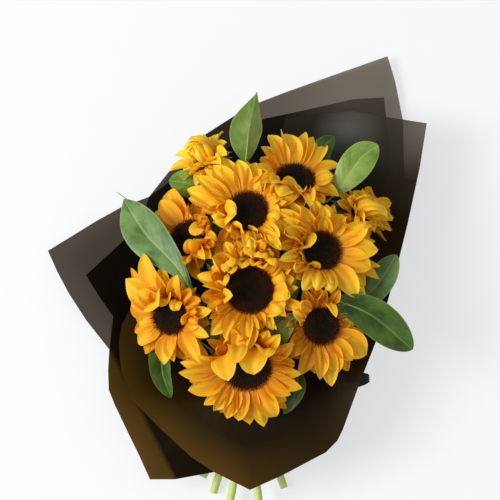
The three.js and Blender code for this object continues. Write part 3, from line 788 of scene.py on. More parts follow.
PETAL = petal_material()
FLORET = floret_material()
STALK = stem_material()
PITH = pith_material()
BRACT = bract_material()
LEAF = {
    "bright": leaf_material("leaf_bright", colour(152, 178, 80), colour(106, 142, 46), colour(180, 200, 116)),
    "fresh": leaf_material("leaf_fresh", colour(146, 166, 84), colour(104, 134, 50), colour(176, 198, 120)),
    "cool": leaf_material("leaf_cool", colour(122, 154, 90), colour(76, 114, 48), colour(162, 188, 126)),
    "deep": leaf_material("leaf_deep", colour(80, 112, 36), colour(40, 66, 14), colour(112, 144, 64)),
}
FILM = {
    "back": film_material(
        "film_back", colour(14, 13, 10), colour(16, 15, 12),
        clear=(0.19, (0.1, 0.33), (0.25, 0.38), (0.36, 0.1), (0.47, 0.1), (0.54, 0.72), (0.78, 0.84), (0.97, 1.0)),
    ),
    "back_inner": film_material(
        "film_back_inner", colour(10, 8, 5), colour(13, 12, 10), clear=(0.19, (0.7, 0.08), (1.0, 1.0)),
    ),
    "left": film_material("film_left", colour(10, 8, 5), colour(13, 12, 10), clear=(0.075, (0.0, 1.0), (0.3, 0.6))),
    "inner": film_material("film_inner", colour(8, 7, 4), colour(13, 12, 10), clear=(0.03, (0.0, 1.0), (1.0, 1.0))),
    "front": film_material("film_front", colour(48, 34, 9), colour(17, 15, 9)),
    "front_left": film_material(
        "film_front_left", colour(50, 37, 12), colour(17, 15, 9), fold=((-129, -174), (0.46, -0.888)),
    ),
}
RIBBON = ribbon_material()
TWINE = twine_material()


# ---- flower heads --------------------------------------------------------------------------------

# Painted shade: from the middle towards the front the heads face away from the light, and their petals are painted
# more orange.
PAINTED_SHADE_START, PAINTED_SHADE_END = -20, 130  # from the middle towards the front, where petals turn more orange
MOST_PAINTED_SHADE = 0.75


class Head:
    """One flower head, with the ways in the plane of its disc."""

    def __init__(self, name):
        flower = FLOWERS[name]
        self.name = name
        self.centre = arr(*flower["centre"])
        self.facing = unit(flower["facing"])
        self.disc, self.reach = flower["disc"], flower["reach"]
        self.size = flower.get("size", 1.0)
        # Painted shade: the further forward a head lies, the more orange its petals, as it faces away from the light.
        # Its own number adds painted shade above 0, and painted light, more lemon, below 0.
        frontness = float(smooth(-self.centre[1], PAINTED_SHADE_START, PAINTED_SHADE_END))
        self.painted_shade = flower.get("painted_shade", 0.0) + MOST_PAINTED_SHADE * frontness
        # Right and up within the head's own plane, as the camera sees them.
        self.right = unit(arr(1, 0, 0) - self.facing * self.facing[0])
        self.up = np.cross(self.facing, self.right)

    def outward(self, angle):
        return self.right * math.cos(angle) + self.up * math.sin(angle)

    def planes(self):
        """The planes halfway to each other head, as a normal and a distance."""
        found = []
        for name, other in FLOWERS.items():
            if name != self.name:
                far = arr(*other["centre"])
                normal = unit(far - self.centre)
                share = self.reach / (self.reach + other["reach"])
                found.append((normal, normal.dot(lerp(self.centre, far, share))))
        return found


PETAL_ROWS, PETAL_COLUMNS = 15, 13
LOW_ENOUGH, HIGHEST = 172.0, 188.0  # petals above the first are pressed down, to stay below the second
PETAL_ROOM = 1.5  # kept from the plane halfway to the next head
FILM_ROOM = 1.5  # kept between a petal or leaf and the film below it
ABOVE_ALL = 300.0  # where the rays down to the film start

# How each kind of petal grows, in degrees and millimetres. rise, bend and tip are its climb out of the disc's plane
# at the root, its change along the petal and its change near the tip. twist turns it about its own line. cup rolls
# its edges up, or down below 0. inset is how far its root is in from the disc's rim, as a share. The petals with
# solve bend until their tip is where it is seen, and the others turn and grow.
# Each kind's depth is painted shade: the deeper a petal lies among the others, the more orange it is painted.
KINDS = {
    "flat": dict(root=-2.5, rise=18, bend=-16, tip=-12, twist=0, cup=44, ruffle=0.8, depth=0.1),
    "broad": dict(root=-2.0, rise=26, bend=-16, tip=-20, twist=0, cup=48, ruffle=0.5, depth=0.05, blunt=True),
    "hang": dict(root=-3.0, rise=16, bend=-52, tip=-10, twist=0, cup=-36, ruffle=1.0, depth=0.25),
    "drape": dict(root=-1.0, rise=38, bend=-30, tip=-34, twist=0, cup=26, ruffle=0.8, depth=0.15),
    "low": dict(root=-5.5, rise=-2, bend=-10, tip=-8, twist=10, cup=34, ruffle=0.8, depth=0.8),
    "up": dict(root=-2.0, rise=44, bend=-8, tip=-30, twist=0, cup=46, ruffle=0.8, depth=0.15, blunt=True),
    "lobe": dict(root=-1.5, rise=58, bend=-30, tip=-46, twist=0, cup=-34, ruffle=0.4, depth=0.0, blunt=True),
    "fold": dict(root=-3.0, rise=26, bend=-6, tip=-10, twist=24, cup=104, ruffle=0.6, depth=0.35),
    "edge": dict(root=-3.0, rise=24, bend=-4, tip=10, twist=78, cup=40, ruffle=0.8, depth=0.3),
    "curl": dict(
        root=-2.0, rise=48, bend=40, tip=60, twist=16, cup=66, ruffle=1.3, depth=0.4, blunt=True, solve="bend",
    ),
    "over": dict(
        root=-1.0, rise=52, bend=92, tip=16, twist=0, cup=-24, ruffle=0.8, depth=0.1, blunt=True, solve="bend",
    ),
    "inner": dict(
        root=-0.5, rise=64, bend=-14, tip=-20, twist=0, cup=48, ruffle=0.5, depth=0.1, blunt=True, inset=0.55,
    ),
}
BENDING_LENGTH = {"curl": 36, "over": 40}  # of petals whose length isn't the head's reach
WIDENING = 1.08  # of a petal, for what its cup takes from its width
MOST_LIFT, LIFT_STEP = 110.0, 6.0  # degrees that a petal is lifted by to keep it from the next head
PRESSED_CUP = 50  # how much more its edges roll up when it is lifted most

# The petals that the photograph shows on each head, with the place of the head's middle in the frame. Each petal has
# the angle and distance of its tip from there, its width and its kind, in steps of the frame. A fifth value is the
# angle of its root, where it bends over the disc from another side than its tip's.
SEEN_PETALS = {
    "left_back": ((-63, 12), [
        (111, 52, 26, "flat"), (140, 41, 22, "low"), (101, 44, 14, "low"), (88, 35, 12, "edge"), (50, 27, 14, "curl"),
        (27, 24, 20, "over", 322), (346, 36, 12, "fold"), (344, 9, 12, "over", 288), (290, 32, 15, "edge"),
        (235, 26, 14, "low"), (262, 30, 14, "flat"), (165, 42, 20, "low"), (190, 40, 18, "low"), (212, 36, 16, "low"),
        (125, 46, 20, "flat"), (30, 30, 16, "curl"), (320, 32, 15, "up"), (350, 22, 18, "over", 20),
        (15, 26, 16, "curl"), (328, 40, 14, "curl"), (302, 44, 15, "up"), (280, 42, 13, "curl"),
        (356, 30, 15, "lobe"), (340, 44, 18, "low"),
    ]),
    "top_middle": ((-3, 39), [
        (100, 52, 19, "flat"), (115, 60, 18, "flat"), (127, 57, 22, "flat"), (145, 62, 18, "flat"),
        (160, 64, 20, "flat"), (168, 60, 16, "low"), (179, 46, 14, "fold"), (195, 11, 26, "over"),
        (178, 31, 18, "curl"), (245, 31, 18, "curl"), (250, 15, 18, "over"), (80, 49, 19, "flat"),
        (62, 48, 11, "edge"), (48, 47, 19, "flat"), (35, 48, 12, "low"), (19, 57, 19, "flat"), (8, 50, 14, "flat"),
        (352, 34, 24, "lobe"), (12, 36, 22, "broad"), (0, 53, 13, "low"), (340, 43, 12, "edge"),
        (300, 24, 22, "curl"), (272, 36, 14, "curl"), (283, 34, 14, "curl"), (300, 48, 14, "fold"),
        (209, 24, 20, "lobe"), (188, 36, 17, "lobe"), (321, 42, 16, "up"), (90, 50, 14, "low"), (135, 60, 14, "low"),
        (200, 34, 18, "lobe"), (172, 42, 17, "broad"), (255, 40, 14, "curl"), (263, 46, 15, "up"),
        (290, 46, 14, "curl"), (311, 52, 15, "up"), (331, 46, 16, "broad"), (276, 50, 15, "lobe"),
        (30, 40, 19, "broad"), (68, 38, 18, "broad"), (228, 26, 18, "lobe"), (233, 52, 16, "low"),
        (345, 44, 16, "broad"), (322, 60, 17, "flat"), (336, 56, 16, "flat"),
    ]),
    "top_right": ((46, 72), [
        (107, 51, 9, "edge"), (123, 51, 20, "flat"), (102, 45, 23, "flat"), (90, 41, 16, "flat"),
        (78, 49, 14, "flat"), (50, 50, 20, "flat"), (62, 42, 15, "low"), (37, 48, 11, "low"), (31, 42, 11, "low"),
        (15, 46, 18, "flat"), (4, 38, 22, "lobe"), (337, 47, 16, "flat"), (345, 43, 14, "low"), (319, 38, 16, "hang"),
        (205, 34, 20, "up"), (185, 44, 16, "up"), (162, 28, 9, "edge"), (165, 42, 14, "up"), (152, 41, 17, "low"),
        (234, 43, 21, "lobe"), (256, 16, 24, "over"), (262, 36, 18, "curl"), (295, 32, 18, "up"),
        (302, 20, 12, "curl"), (138, 47, 18, "flat"), (330, 36, 14, "low"), (222, 50, 15, "up"),
        (248, 49, 15, "curl"), (273, 50, 15, "up"), (289, 46, 14, "curl"), (308, 44, 14, "curl"),
        (240, 32, 16, "curl"), (115, 46, 14, "flat"), (68, 46, 14, "flat"), (196, 26, 14, "curl"),
    ]),
    "top_left": ((-50, 97), [
        (42, 33, 16, "flat"), (22, 29, 17, "broad"), (355, 27, 19, "broad"), (334, 26, 17, "broad"),
        (107, 18, 17, "broad"), (86, 17, 15, "broad"), (62, 17, 15, "broad"), (132, 14, 14, "up"), (75, 23, 6, "low"),
        (57, 24, 7, "low"), (166, 21, 11, "low"), (184, 25, 11, "flat"), (199, 23, 13, "flat"), (211, 36, 16, "flat"),
        (226, 25, 14, "flat"), (243, 21, 14, "flat"), (262, 19, 14, "up"), (283, 19, 14, "up"), (306, 20, 14, "flat"),
        (268, 30, 15, "low"), (160, 14, 14, "up"), (168, 18, 13, "over", 352), (196, 16, 13, "over", 8),
        (222, 13, 14, "over", 24), (140, 15, 17, "over", 338), (110, 16, 19, "over", 322), (75, 12, 17, "over", 300),
        (240, 5, 14, "inner"), (120, 5, 14, "inner"), (0, 6, 15, "inner"), (330, 13, 13, "up"), (200, 14, 13, "up"),
        (30, 17, 14, "up"), (240, 28, 13, "low"), (290, 24, 13, "low"), (320, 26, 14, "low"),
    ]),
    "centre": ((0, -40), [
        (245, 57, 22, "drape"), (259, 71, 20, "drape"), (270, 60, 18, "drape"), (284, 55, 18, "low"),
        (300, 46, 12, "drape"), (236, 50, 20, "flat"), (305, 37, 14, "fold"), (318, 37, 20, "flat"),
        (338, 45, 17, "fold"), (341, 65, 13, "flat"), (22, 45, 16, "low"), (35, 47, 15, "flat"), (45, 44, 14, "up"),
        (56, 50, 15, "flat"), (68, 37, 18, "curl"), (83, 35, 16, "curl"), (97, 38, 16, "curl"), (80, 58, 16, "flat"),
        (118, 42, 13, "edge"), (140, 50, 24, "curl"), (150, 45, 21, "up"), (165, 55, 16, "flat"),
        (175, 48, 14, "fold"), (190, 50, 17, "flat"), (205, 47, 19, "flat"), (197, 18, 15, "over"),
        (222, 52, 16, "flat"), (110, 31, 17, "curl"), (127, 31, 17, "curl"), (350, 41, 18, "up"),
        (250, 60, 16, "low"), (62, 44, 14, "curl"), (75, 50, 14, "curl"), (90, 54, 15, "up"), (104, 52, 14, "curl"),
        (117, 54, 15, "up"), (130, 48, 15, "curl"), (99, 45, 14, "up"), (48, 38, 14, "curl"), (143, 36, 14, "curl"),
        (158, 42, 14, "curl"), (212, 40, 14, "curl"), (129, 56, 18, "low"), (231, 44, 14, "hang"),
        (112, 24, 17, "over", 106), (86, 25, 16, "over", 80), (58, 26, 16, "over", 62), (140, 26, 16, "over", 136),
        (20, 38, 26, "lobe"), (350, 39, 27, "lobe"), (326, 40, 24, "lobe"), (168, 27, 15, "over", 166),
        (283, 42, 20, "broad"), (246, 46, 20, "broad"), (14, 46, 17, "flat"), (28, 46, 16, "flat"),
        (229, 60, 18, "flat"),
    ]),
    "right_middle": ((72, -1), [
        (2, 56, 23, "flat"), (10, 54, 14, "low"), (345, 60, 10, "low"), (341, 52, 25, "flat"), (334, 64, 15, "low"),
        (314, 64, 19, "hang"), (322, 56, 18, "low"), (306, 58, 23, "flat"), (285, 47, 15, "hang"),
        (259, 45, 15, "hang"), (242, 42, 19, "hang"), (228, 14, 18, "over", 232), (262, 40, 17, "lobe"),
        (244, 44, 16, "lobe"), (283, 43, 18, "lobe"), (167, 17, 28, "over"), (150, 20, 20, "over", 148),
        (192, 20, 18, "over", 200), (190, 31, 18, "curl"), (149, 44, 18, "up"), (125, 31, 18, "up"),
        (98, 36, 18, "curl"), (83, 36, 18, "curl"), (61, 42, 20, "flat"), (53, 47, 15, "low"), (32, 55, 22, "flat"),
        (23, 50, 16, "flat"), (110, 44, 14, "low"), (75, 48, 14, "low"), (205, 31, 16, "curl"), (352, 46, 16, "low"),
        (140, 50, 14, "up"), (158, 46, 15, "curl"), (175, 43, 14, "curl"), (192, 44, 14, "up"), (213, 42, 14, "curl"),
        (228, 38, 14, "curl"), (135, 38, 14, "curl"), (160, 32, 16, "curl"), (178, 30, 14, "curl"),
        (116, 50, 14, "curl"), (90, 46, 15, "up"), (16, 50, 14, "low"), (137, 60, 18, "flat"), (123, 60, 17, "flat"),
        (84, 47, 18, "flat"), (100, 54, 17, "flat"), (217, 46, 17, "flat"), (203, 46, 16, "up"),
        (150, 56, 16, "flat"),
    ]),
    "right_front": ((72, -76), [
        (279, 61, 20, "flat"), (290, 49, 20, "flat"), (261, 48, 18, "low"), (245, 56, 16, "low"),
        (328, 53, 28, "flat"), (312, 46, 18, "flat"), (350, 42, 11, "low"), (352, 32, 21, "low"), (16, 26, 17, "low"),
        (40, 26, 13, "low"), (31, 17, 9, "over", 85), (85, 30, 15, "low"), (117, 36, 17, "low"),
        (164, 24, 13, "lobe"), (165, 40, 15, "low"), (198, 33, 16, "low"), (225, 44, 16, "low"), (335, 44, 16, "low"),
        (268, 54, 16, "flat"), (60, 30, 14, "low"), (100, 42, 15, "low"), (135, 40, 15, "curl"),
        (150, 34, 14, "lobe"), (190, 38, 15, "low"), (212, 40, 15, "low"), (320, 50, 16, "low"), (300, 52, 16, "low"),
    ]),
    "left_front": ((-80, -66), [
        (140, 15, 31, "over", 122), (92, 14, 24, "over", 92), (27, 24, 13, "over", 56), (140, 58, 27, "hang"),
        (113, 68, 24, "flat"), (123, 66, 12, "low"), (129, 62, 12, "low"), (99, 52, 16, "flat"), (0, 13, 17, "over"),
        (10, 28, 14, "curl"), (340, 31, 18, "up"), (313, 57, 20, "flat"), (303, 56, 20, "flat"), (288, 46, 14, "low"),
        (263, 49, 22, "flat"), (275, 46, 16, "flat"), (248, 45, 12, "low"), (237, 45, 16, "low"),
        (221, 42, 18, "flat"), (193, 32, 20, "flat"), (161, 41, 24, "low"), (205, 39, 16, "low"),
        (150, 46, 18, "flat"), (80, 42, 18, "up"), (60, 36, 16, "low"), (70, 32, 16, "curl"), (90, 30, 18, "curl"),
        (125, 34, 20, "curl"), (45, 34, 14, "curl"), (25, 34, 14, "curl"), (352, 40, 14, "curl"), (332, 44, 14, "up"),
        (8, 42, 14, "up"), (295, 50, 15, "low"), (140, 40, 18, "up"),
    ]),
    "front": ((-4, -118), [
        (216, 22, 27, "over", 138), (318, 10, 31, "over", 78), (30, 22, 22, "over", 62), (160, 14, 20, "over", 108),
        (36, 29, 12, "fold"), (28, 54, 17, "flat"), (21, 57, 14, "low"), (7, 49, 21, "flat"), (354, 56, 14, "flat"),
        (340, 60, 16, "flat"), (329, 52, 16, "flat"), (303, 57, 23, "flat"), (315, 58, 14, "low"),
        (287, 62, 18, "hang"), (273, 57, 16, "hang"), (261, 53, 18, "flat"), (249, 54, 17, "flat"),
        (233, 54, 16, "flat"), (221, 56, 14, "flat"), (201, 62, 23, "flat"), (184, 68, 18, "flat"),
        (175, 66, 16, "flat"), (152, 34, 15, "low"), (2, 28, 9, "edge"), (55, 26, 16, "curl"), (45, 48, 17, "up"),
        (295, 58, 16, "low"), (240, 52, 16, "low"), (193, 58, 16, "low"), (70, 34, 18, "curl"), (95, 32, 18, "curl"),
        (120, 34, 18, "curl"), (142, 36, 16, "curl"), (60, 44, 16, "up"), (110, 42, 15, "up"), (165, 50, 15, "up"),
        (281, 52, 15, "flat"), (266, 50, 15, "flat"), (320, 52, 15, "flat"),
    ]),
    "far_right": ((117, 38), [
        (310, 24, 14, "over", 222), (328, 15, 14, "over", 200), (62, 7, 15, "over", 172), (88, 15, 18, "over", 138),
        (98, 21, 20, "broad"), (122, 25, 17, "broad"), (146, 24, 14, "broad"), (150, 10, 12, "inner"),
        (0, 4, 13, "inner"), (250, 8, 13, "inner"), (166, 24, 14, "low"), (186, 20, 14, "up"), (22, 26, 15, "flat"),
        (6, 25, 14, "flat"), (336, 29, 12, "low"), (313, 34, 13, "low"), (303, 39, 10, "low"), (311, 25, 16, "flat"),
        (290, 22, 16, "flat"), (61, 27, 16, "low"), (78, 31, 15, "low"), (85, 38, 9, "low"), (44, 23, 15, "low"),
        (205, 22, 15, "low"), (228, 20, 15, "up"), (250, 20, 15, "up"), (270, 21, 15, "flat"), (350, 24, 14, "flat"),
        (134, 15, 14, "up"), (40, 15, 14, "up"), (75, 15, 14, "up"), (172, 17, 12, "lobe"), (200, 15, 12, "lobe"),
        (300, 15, 14, "up"), (215, 14, 14, "up"), (330, 17, 14, "flat"), (322, 31, 15, "flat"), (345, 27, 14, "flat"),
    ]),
}
FILLERS = 13  # more petals under these, where the photograph can't show them
ROOT_WIDTH, BROADEST = 0.38, 0.45  # a petal's width at its root, and where it is broadest


def petal_outline(t, blunt):
    """Share of a petal's half width along it, from a narrow root to a pointed or round tip."""
    root = lerp(ROOT_WIDTH, 1, np.sin(np.clip(t / BROADEST, 0, 1) * math.pi / 2))
    x = np.clip((t - BROADEST) / (1 - BROADEST), 0, 1)
    return root * ((1 - x ** 2.6) ** 0.7 if blunt else (1 - x ** 2.1) ** 0.88)


def petal_line(head, ray, lift=0.0):
    """The middle line of a petal, with the ways along, aside and up at each of its points."""
    t = np.linspace(0, 1, PETAL_ROWS)
    rise = ray["rise"] + ray["bend"] * t + ray["tip"] * smooth(t, 0.5, 1) + lift * smooth(t, 0, 0.5)
    rise, yaw = np.radians(rise), np.radians(ray["sway"]) * t
    out = head.outward(ray["angle"])
    aside = np.cross(head.facing, out)
    flat = np.cos(yaw)[:, None] * out + np.sin(yaw)[:, None] * aside
    way = np.cos(rise)[:, None] * flat + np.sin(rise)[:, None] * head.facing
    side = -np.sin(yaw)[:, None] * out + np.cos(yaw)[:, None] * aside
    up = np.cross(way, side)
    turn = np.radians(ray["twist"]) * smooth(t, 0, 0.7)
    side, up = (
        np.cos(turn)[:, None] * side + np.sin(turn)[:, None] * up,
        np.cos(turn)[:, None] * up - np.sin(turn)[:, None] * side,
    )
    start = head.centre + out * (head.disc - 1.2) * (1 - ray.get("inset", 0)) + head.facing * ray["root"]
    step = ray["length"] / (PETAL_ROWS - 1)
    middles = start + np.concatenate([np.zeros((1, 3)), np.cumsum((way[1:] + way[:-1]) / 2 * step, axis=0)])
    return t, middles, side, up


# What is changed to bring a tip to its place: a small step, and the most change in all.
SOLVE_STEPS = {"angle": 0.02, "length": 1.0, "bend": 2.0, "sway": 2.0}
SOLVE_LIMITS = {"angle": 0.9, "length": 22.0, "bend": 80.0, "sway": 55.0}
SOLVE_ROUNDS, STEPS_PER_ROUND = 9, 8
SHORTEST_PETAL = 12.0


def aim(head, ray, wanted, keys):
    """Changes some of a petal's measures until its tip is seen in the wanted place."""
    first = {key: ray[key] for key in keys}

    def tip():
        return seen(petal_line(head, ray)[1][-1])

    for _ in range(SOLVE_ROUNDS):
        here = tip()
        slopes = []
        for key in keys:
            ray[key] += SOLVE_STEPS[key]
            slopes.append(tip() - here)
            ray[key] -= SOLVE_STEPS[key]
        steps = np.linalg.lstsq(np.array(slopes).T, wanted - here, rcond=0.05)[0]
        for key, count in zip(keys, np.clip(steps, -STEPS_PER_ROUND, STEPS_PER_ROUND)):
            most = SOLVE_LIMITS[key]
            ray[key] = float(np.clip(ray[key] + count * SOLVE_STEPS[key], first[key] - most, first[key] + most))
        ray["length"] = max(ray["length"], SHORTEST_PETAL)


def fits(middles, planes):
    """Whether a petal stays on its own side of the planes to the next heads."""
    return all((middles @ normal).max() < far - PETAL_ROOM for normal, far in planes)


def pressed_down(points):
    """Lowers what stands too high, more gently the lower it is."""
    room = HIGHEST - LOW_ENOUGH
    over = np.maximum(points[..., 2] - LOW_ENOUGH, 0)
    points[..., 2] = np.minimum(points[..., 2], LOW_ENOUGH) + room * (1 - np.exp(-over / room))
    return points


def above_film(points, film):
    """Raises what would go through the wrap to just above it. film is the tree of the sheets' surfaces."""
    for point in points.reshape(-1, 3):
        hit = film.ray_cast(Vector((point[0], point[1], ABOVE_ALL)), Vector((0, 0, -1)))[0]
        if hit is not None and point[2] < hit[2] + FILM_ROOM:
            point[2] = hit[2] + FILM_ROOM
    return points


def add_petal(mesh, head, ray, film, planes=None):
    lift = 0.0
    t, middles, side, up = petal_line(head, ray)
    while planes and not fits(middles, planes) and lift < MOST_LIFT:
        lift += LIFT_STEP
        t, middles, side, up = petal_line(head, ray, lift)
    pressed = lift / MOST_LIFT
    u = np.linspace(-1, 1, PETAL_COLUMNS)
    half = ray["width"] / 2 * np.maximum(petal_outline(t, ray.get("blunt", False)), 0.03)
    cup = math.radians(abs(ray["cup"]) + PRESSED_CUP * pressed) * smooth(t, 0.0, 0.5) + 0.02
    angle = u[None, :] * cup[:, None]
    radius = half / cup
    aside = radius[:, None] * np.sin(angle)
    raised = radius[:, None] * (1 - np.cos(angle)) * math.copysign(1, ray["cup"])
    ridges = np.cos(2 * math.pi * u)[None, :] * np.sin(math.pi * np.clip(t, 0.08, 0.94))[:, None]
    ridges = ray["ridge"] * ridges * np.clip(half / 6, 0, 1.4)[:, None]
    waves = ray["ruffle"] * (1 + 1.6 * pressed) * (u ** 2)[None, :]
    waves = waves * np.sin(ray["beats"] * t[:, None] * 2 * math.pi + ray["phase"] + 1.4 * np.sign(u)[None, :])
    waves = waves * smooth(t, 0.1, 0.5)[:, None]
    points = middles[:, None, :] + spread(aside, side) + spread(raised + ridges + waves, up)
    mesh.grid(above_film(pressed_down(points), film), tone=(ray["tone"], ray["depth"]))


def make_ray(head, rng, kind, angle, width):
    """A petal of one kind, with small changes of its own."""
    ray = dict(KINDS[kind])
    ray.update(
        angle=angle,
        length=BENDING_LENGTH.get(kind, head.reach - head.disc) * head.size * rng.uniform(0.92, 1.08),
        width=width * WIDENING,
        rise=ray["rise"] + rng.uniform(-9, 9),
        bend=ray["bend"] + rng.uniform(-7, 7),
        tip=ray["tip"] + rng.uniform(-14, 14),
        sway=rng.uniform(-10, 10),
        twist=ray["twist"] * rng.choice((-1, 1)) + rng.uniform(-12, 12),
        cup=ray["cup"] + rng.uniform(-12, 12),
        ridge=rng.uniform(0.8, 1.3),
        ruffle=ray["ruffle"] * rng.uniform(0.7, 1.3),
        beats=rng.uniform(0.7, 1.5),
        phase=rng.uniform(0, 2 * math.pi),
        tone=rng.random(),
        depth=min(ray["depth"] * rng.uniform(0.7, 1.3) + head.painted_shade * rng.uniform(0.6, 1.2), 1.6),
    )
    return ray


def make_petals(head, film):
    rng = random.Random(40 + len(head.name))
    mesh = Mesh()
    planes = head.planes()
    start = rng.random()
    fillers = round(FILLERS * head.size)
    for i in range(fillers):
        angle = (start + i + rng.uniform(-0.25, 0.25)) / fillers * 2 * math.pi
        ray = make_ray(head, rng, "low", angle, (head.reach - head.disc) * rng.uniform(0.36, 0.46))
        ray["root"] -= 1.5
        ray["length"] *= 0.9
        add_petal(mesh, head, ray, film, planes)
    middle, petals = SEEN_PETALS[head.name]
    for angle, reach, width, kind, *root in petals:
        tip_angle, root_angle = math.radians(angle), math.radians(root[0] if root else angle)
        ray = make_ray(head, rng, kind, root_angle, width * VIEW_STEP)
        keys = ("bend", "sway", "length") if ray.get("solve") == "bend" else ("angle", "length")
        aim(head, ray, arr(*middle) + reach * arr(math.cos(tip_angle), math.sin(tip_angle)), keys)
        add_petal(mesh, head, ray, film)
    stand_for(f"petals_{head.name}", "petals", mesh, "rays", PETAL)


GOLDEN = math.pi * (3 - math.sqrt(5))
FLORET_SPACING = 2.05
FLORET_SIDES = 5
DISC_SIDES = 40
DISC_FOOT = 7.6  # depth of the disc's lower edge
PLATE_SUNK, FLORETS_SUNK = 1.2, 1.0  # depth of the plate and the florets' feet below the dome
FLORET_FILL = 3.3
BRISTLES_PER_MM = 3.4  # of the disc's radius
BRISTLE_RADIUS = 0.42


def dome_height(share):
    """Height of the disc over its radius: a shallow hollow in the middle and a rounded shoulder."""
    return 2.2 * np.sin(math.pi * np.clip(share, 0, 1) ** 1.4) + 0.6 - 1.6 * smooth(share, 0.85, 1)


def add_floret(mesh, base, axis, lean, radius, height, tone):
    a, b = cross_frames(np.array([base, base + axis]))
    ring = circle(a[0], b[0], turns(FLORET_SIDES))
    low = base - axis * 0.8 + ring * radius * 0.75
    mid = base + axis * height * 0.55 + lean * 0.4 + ring * radius
    first = mesh.grid(np.stack([low, mid]), ring=True, tone=tone)
    mesh.cap(first + FLORET_SIDES, FLORET_SIDES, base + axis * height + lean, tone)


def random_way(rng):
    return arr(rng.uniform(-1, 1), rng.uniform(-1, 1), rng.uniform(-1, 1))


def make_disc(head):
    rng = random.Random(100 + len(head.name))
    mesh = Mesh()
    shares = np.linspace(0.02, 1, 14)
    outs = np.array([head.outward(angle) for angle in turns(DISC_SIDES)])
    heights = dome_height(shares) - PLATE_SUNK
    plate = head.centre + shares[:, None, None] * (head.disc - 0.6) * outs[None]
    plate = plate + heights[:, None, None] * head.facing
    foot = head.centre - head.facing * DISC_FOOT
    top = head.centre + head.facing * (dome_height(0.0) - PLATE_SUNK)
    first = mesh.grid(np.concatenate([plate, foot + outs[None] * (head.disc - 1.4)]), ring=True, tone=(0.6, 0.5))
    mesh.cap(first, DISC_SIDES, top, (0.1, 0.5), flip=True)
    mesh.cap(first + len(shares) * DISC_SIDES, DISC_SIDES, foot, (0.6, 0.5))
    count = int((head.disc / FLORET_SPACING) ** 2 * FLORET_FILL)
    for i in range(count):
        share = math.sqrt((i + 0.5) / count)
        out = head.outward(i * GOLDEN)
        base = head.centre + out * share * (head.disc - 0.5)
        base = base + head.facing * (float(dome_height(share)) - FLORETS_SUNK)
        outer = float(smooth(share, 0.45, 0.95))
        axis = unit(head.facing + out * (0.25 * share + 0.45 * float(smooth(share, 0.8, 1))))
        sway = random_way(rng) * (0.15 + 0.5 * outer)
        height = lerp(1.5, 3.6, outer) * rng.uniform(0.8, 1.2)
        radius = lerp(1.0, 0.72, outer) * rng.uniform(0.85, 1.1)
        add_floret(mesh, base, axis, sway, radius, height, (share * rng.uniform(0.9, 1.05), rng.random()))
    bristles = int(head.disc * BRISTLES_PER_MM)
    for i in range(bristles):
        out = head.outward((i + rng.uniform(-0.3, 0.3)) / bristles * 2 * math.pi)
        base = head.centre + out * (head.disc - rng.uniform(0.2, 1.6)) + head.facing * rng.uniform(-0.6, 1.2)
        axis = unit(out + head.facing * rng.uniform(0.15, 0.9))
        sway, height = random_way(rng) * 0.5, rng.uniform(3.0, 5.4)
        add_floret(mesh, base, axis, sway, BRISTLE_RADIUS, height, (rng.uniform(0.86, 1.0), rng.random()))
    stand_for(f"disc_{head.name}", "disc", mesh, "florets", FLORET)


BRACT_RINGS = [(13, 25, -34), (12, 20, -16)]  # how many bracts, how long and how steep
BRACT_ROWS, BRACT_COLUMNS = 7, 5
BRACT_WIDTH, BRACT_CUP = 4.6, 0.35
STEM_SIDES, TWIG_SIDES, CUP_SIDES = 20, 12, 32
STALK_SLOT, CUT_SLOT, BRACT_SLOT = 0, 1, 2
STEM_STRAIGHT = 28  # below the cup
STEM_ROWS, TWIG_ROWS = 90, 70


def add_cut_end(mesh, ends, radius, sides, shares, raised, sunk):
    """The pale face of a cut end, from the stalk's first two points."""
    way = unit(ends[0] - ends[1])
    a, b = cross_frames(ends)
    ring = circle(a[0], b[0], turns(sides))
    rows = [ends[0] + way * raised + ring * radius * share for share in shares]
    first = mesh.grid(np.stack(rows), ring=True, slot=CUT_SLOT)
    mesh.cap(first + (len(rows) - 1) * sides, sides, ends[0] + way * sunk, slot=CUT_SLOT)


def add_bracts(mesh, head, rng):
    t, u = np.linspace(0, 1, BRACT_ROWS), np.linspace(-1, 1, BRACT_COLUMNS)
    for ring, (count, length, rise) in enumerate(BRACT_RINGS):
        for i in range(count):
            angle = (i + 0.5 * ring + rng.uniform(-0.2, 0.2)) / count * 2 * math.pi
            out = head.outward(angle)
            side = np.cross(head.facing, out)
            slope = np.radians(rise + rng.uniform(-12, 8) + rng.uniform(-40, 14) * t)
            way = np.cos(slope)[:, None] * out + np.sin(slope)[:, None] * head.facing
            step = length * rng.uniform(0.85, 1.15) / (len(t) - 1)
            start = head.centre + out * (head.disc - 1.5 - 3 * (1 - ring)) - head.facing * (CUP_TOP + 2.5 - ring)
            middles = start + np.concatenate([np.zeros((1, 3)), np.cumsum(way[1:] * step, axis=0)])
            widths = (BRACT_WIDTH * np.sin(math.pi * (0.2 + 0.8 * t)) ** 0.8 + 0.05)[:, None]
            up = np.cross(way, side[None, :])
            points = middles[:, None, :] + spread(widths * u, side[None, :]) + spread(BRACT_CUP * widths * u ** 2, up)
            mesh.grid(points, slot=BRACT_SLOT)


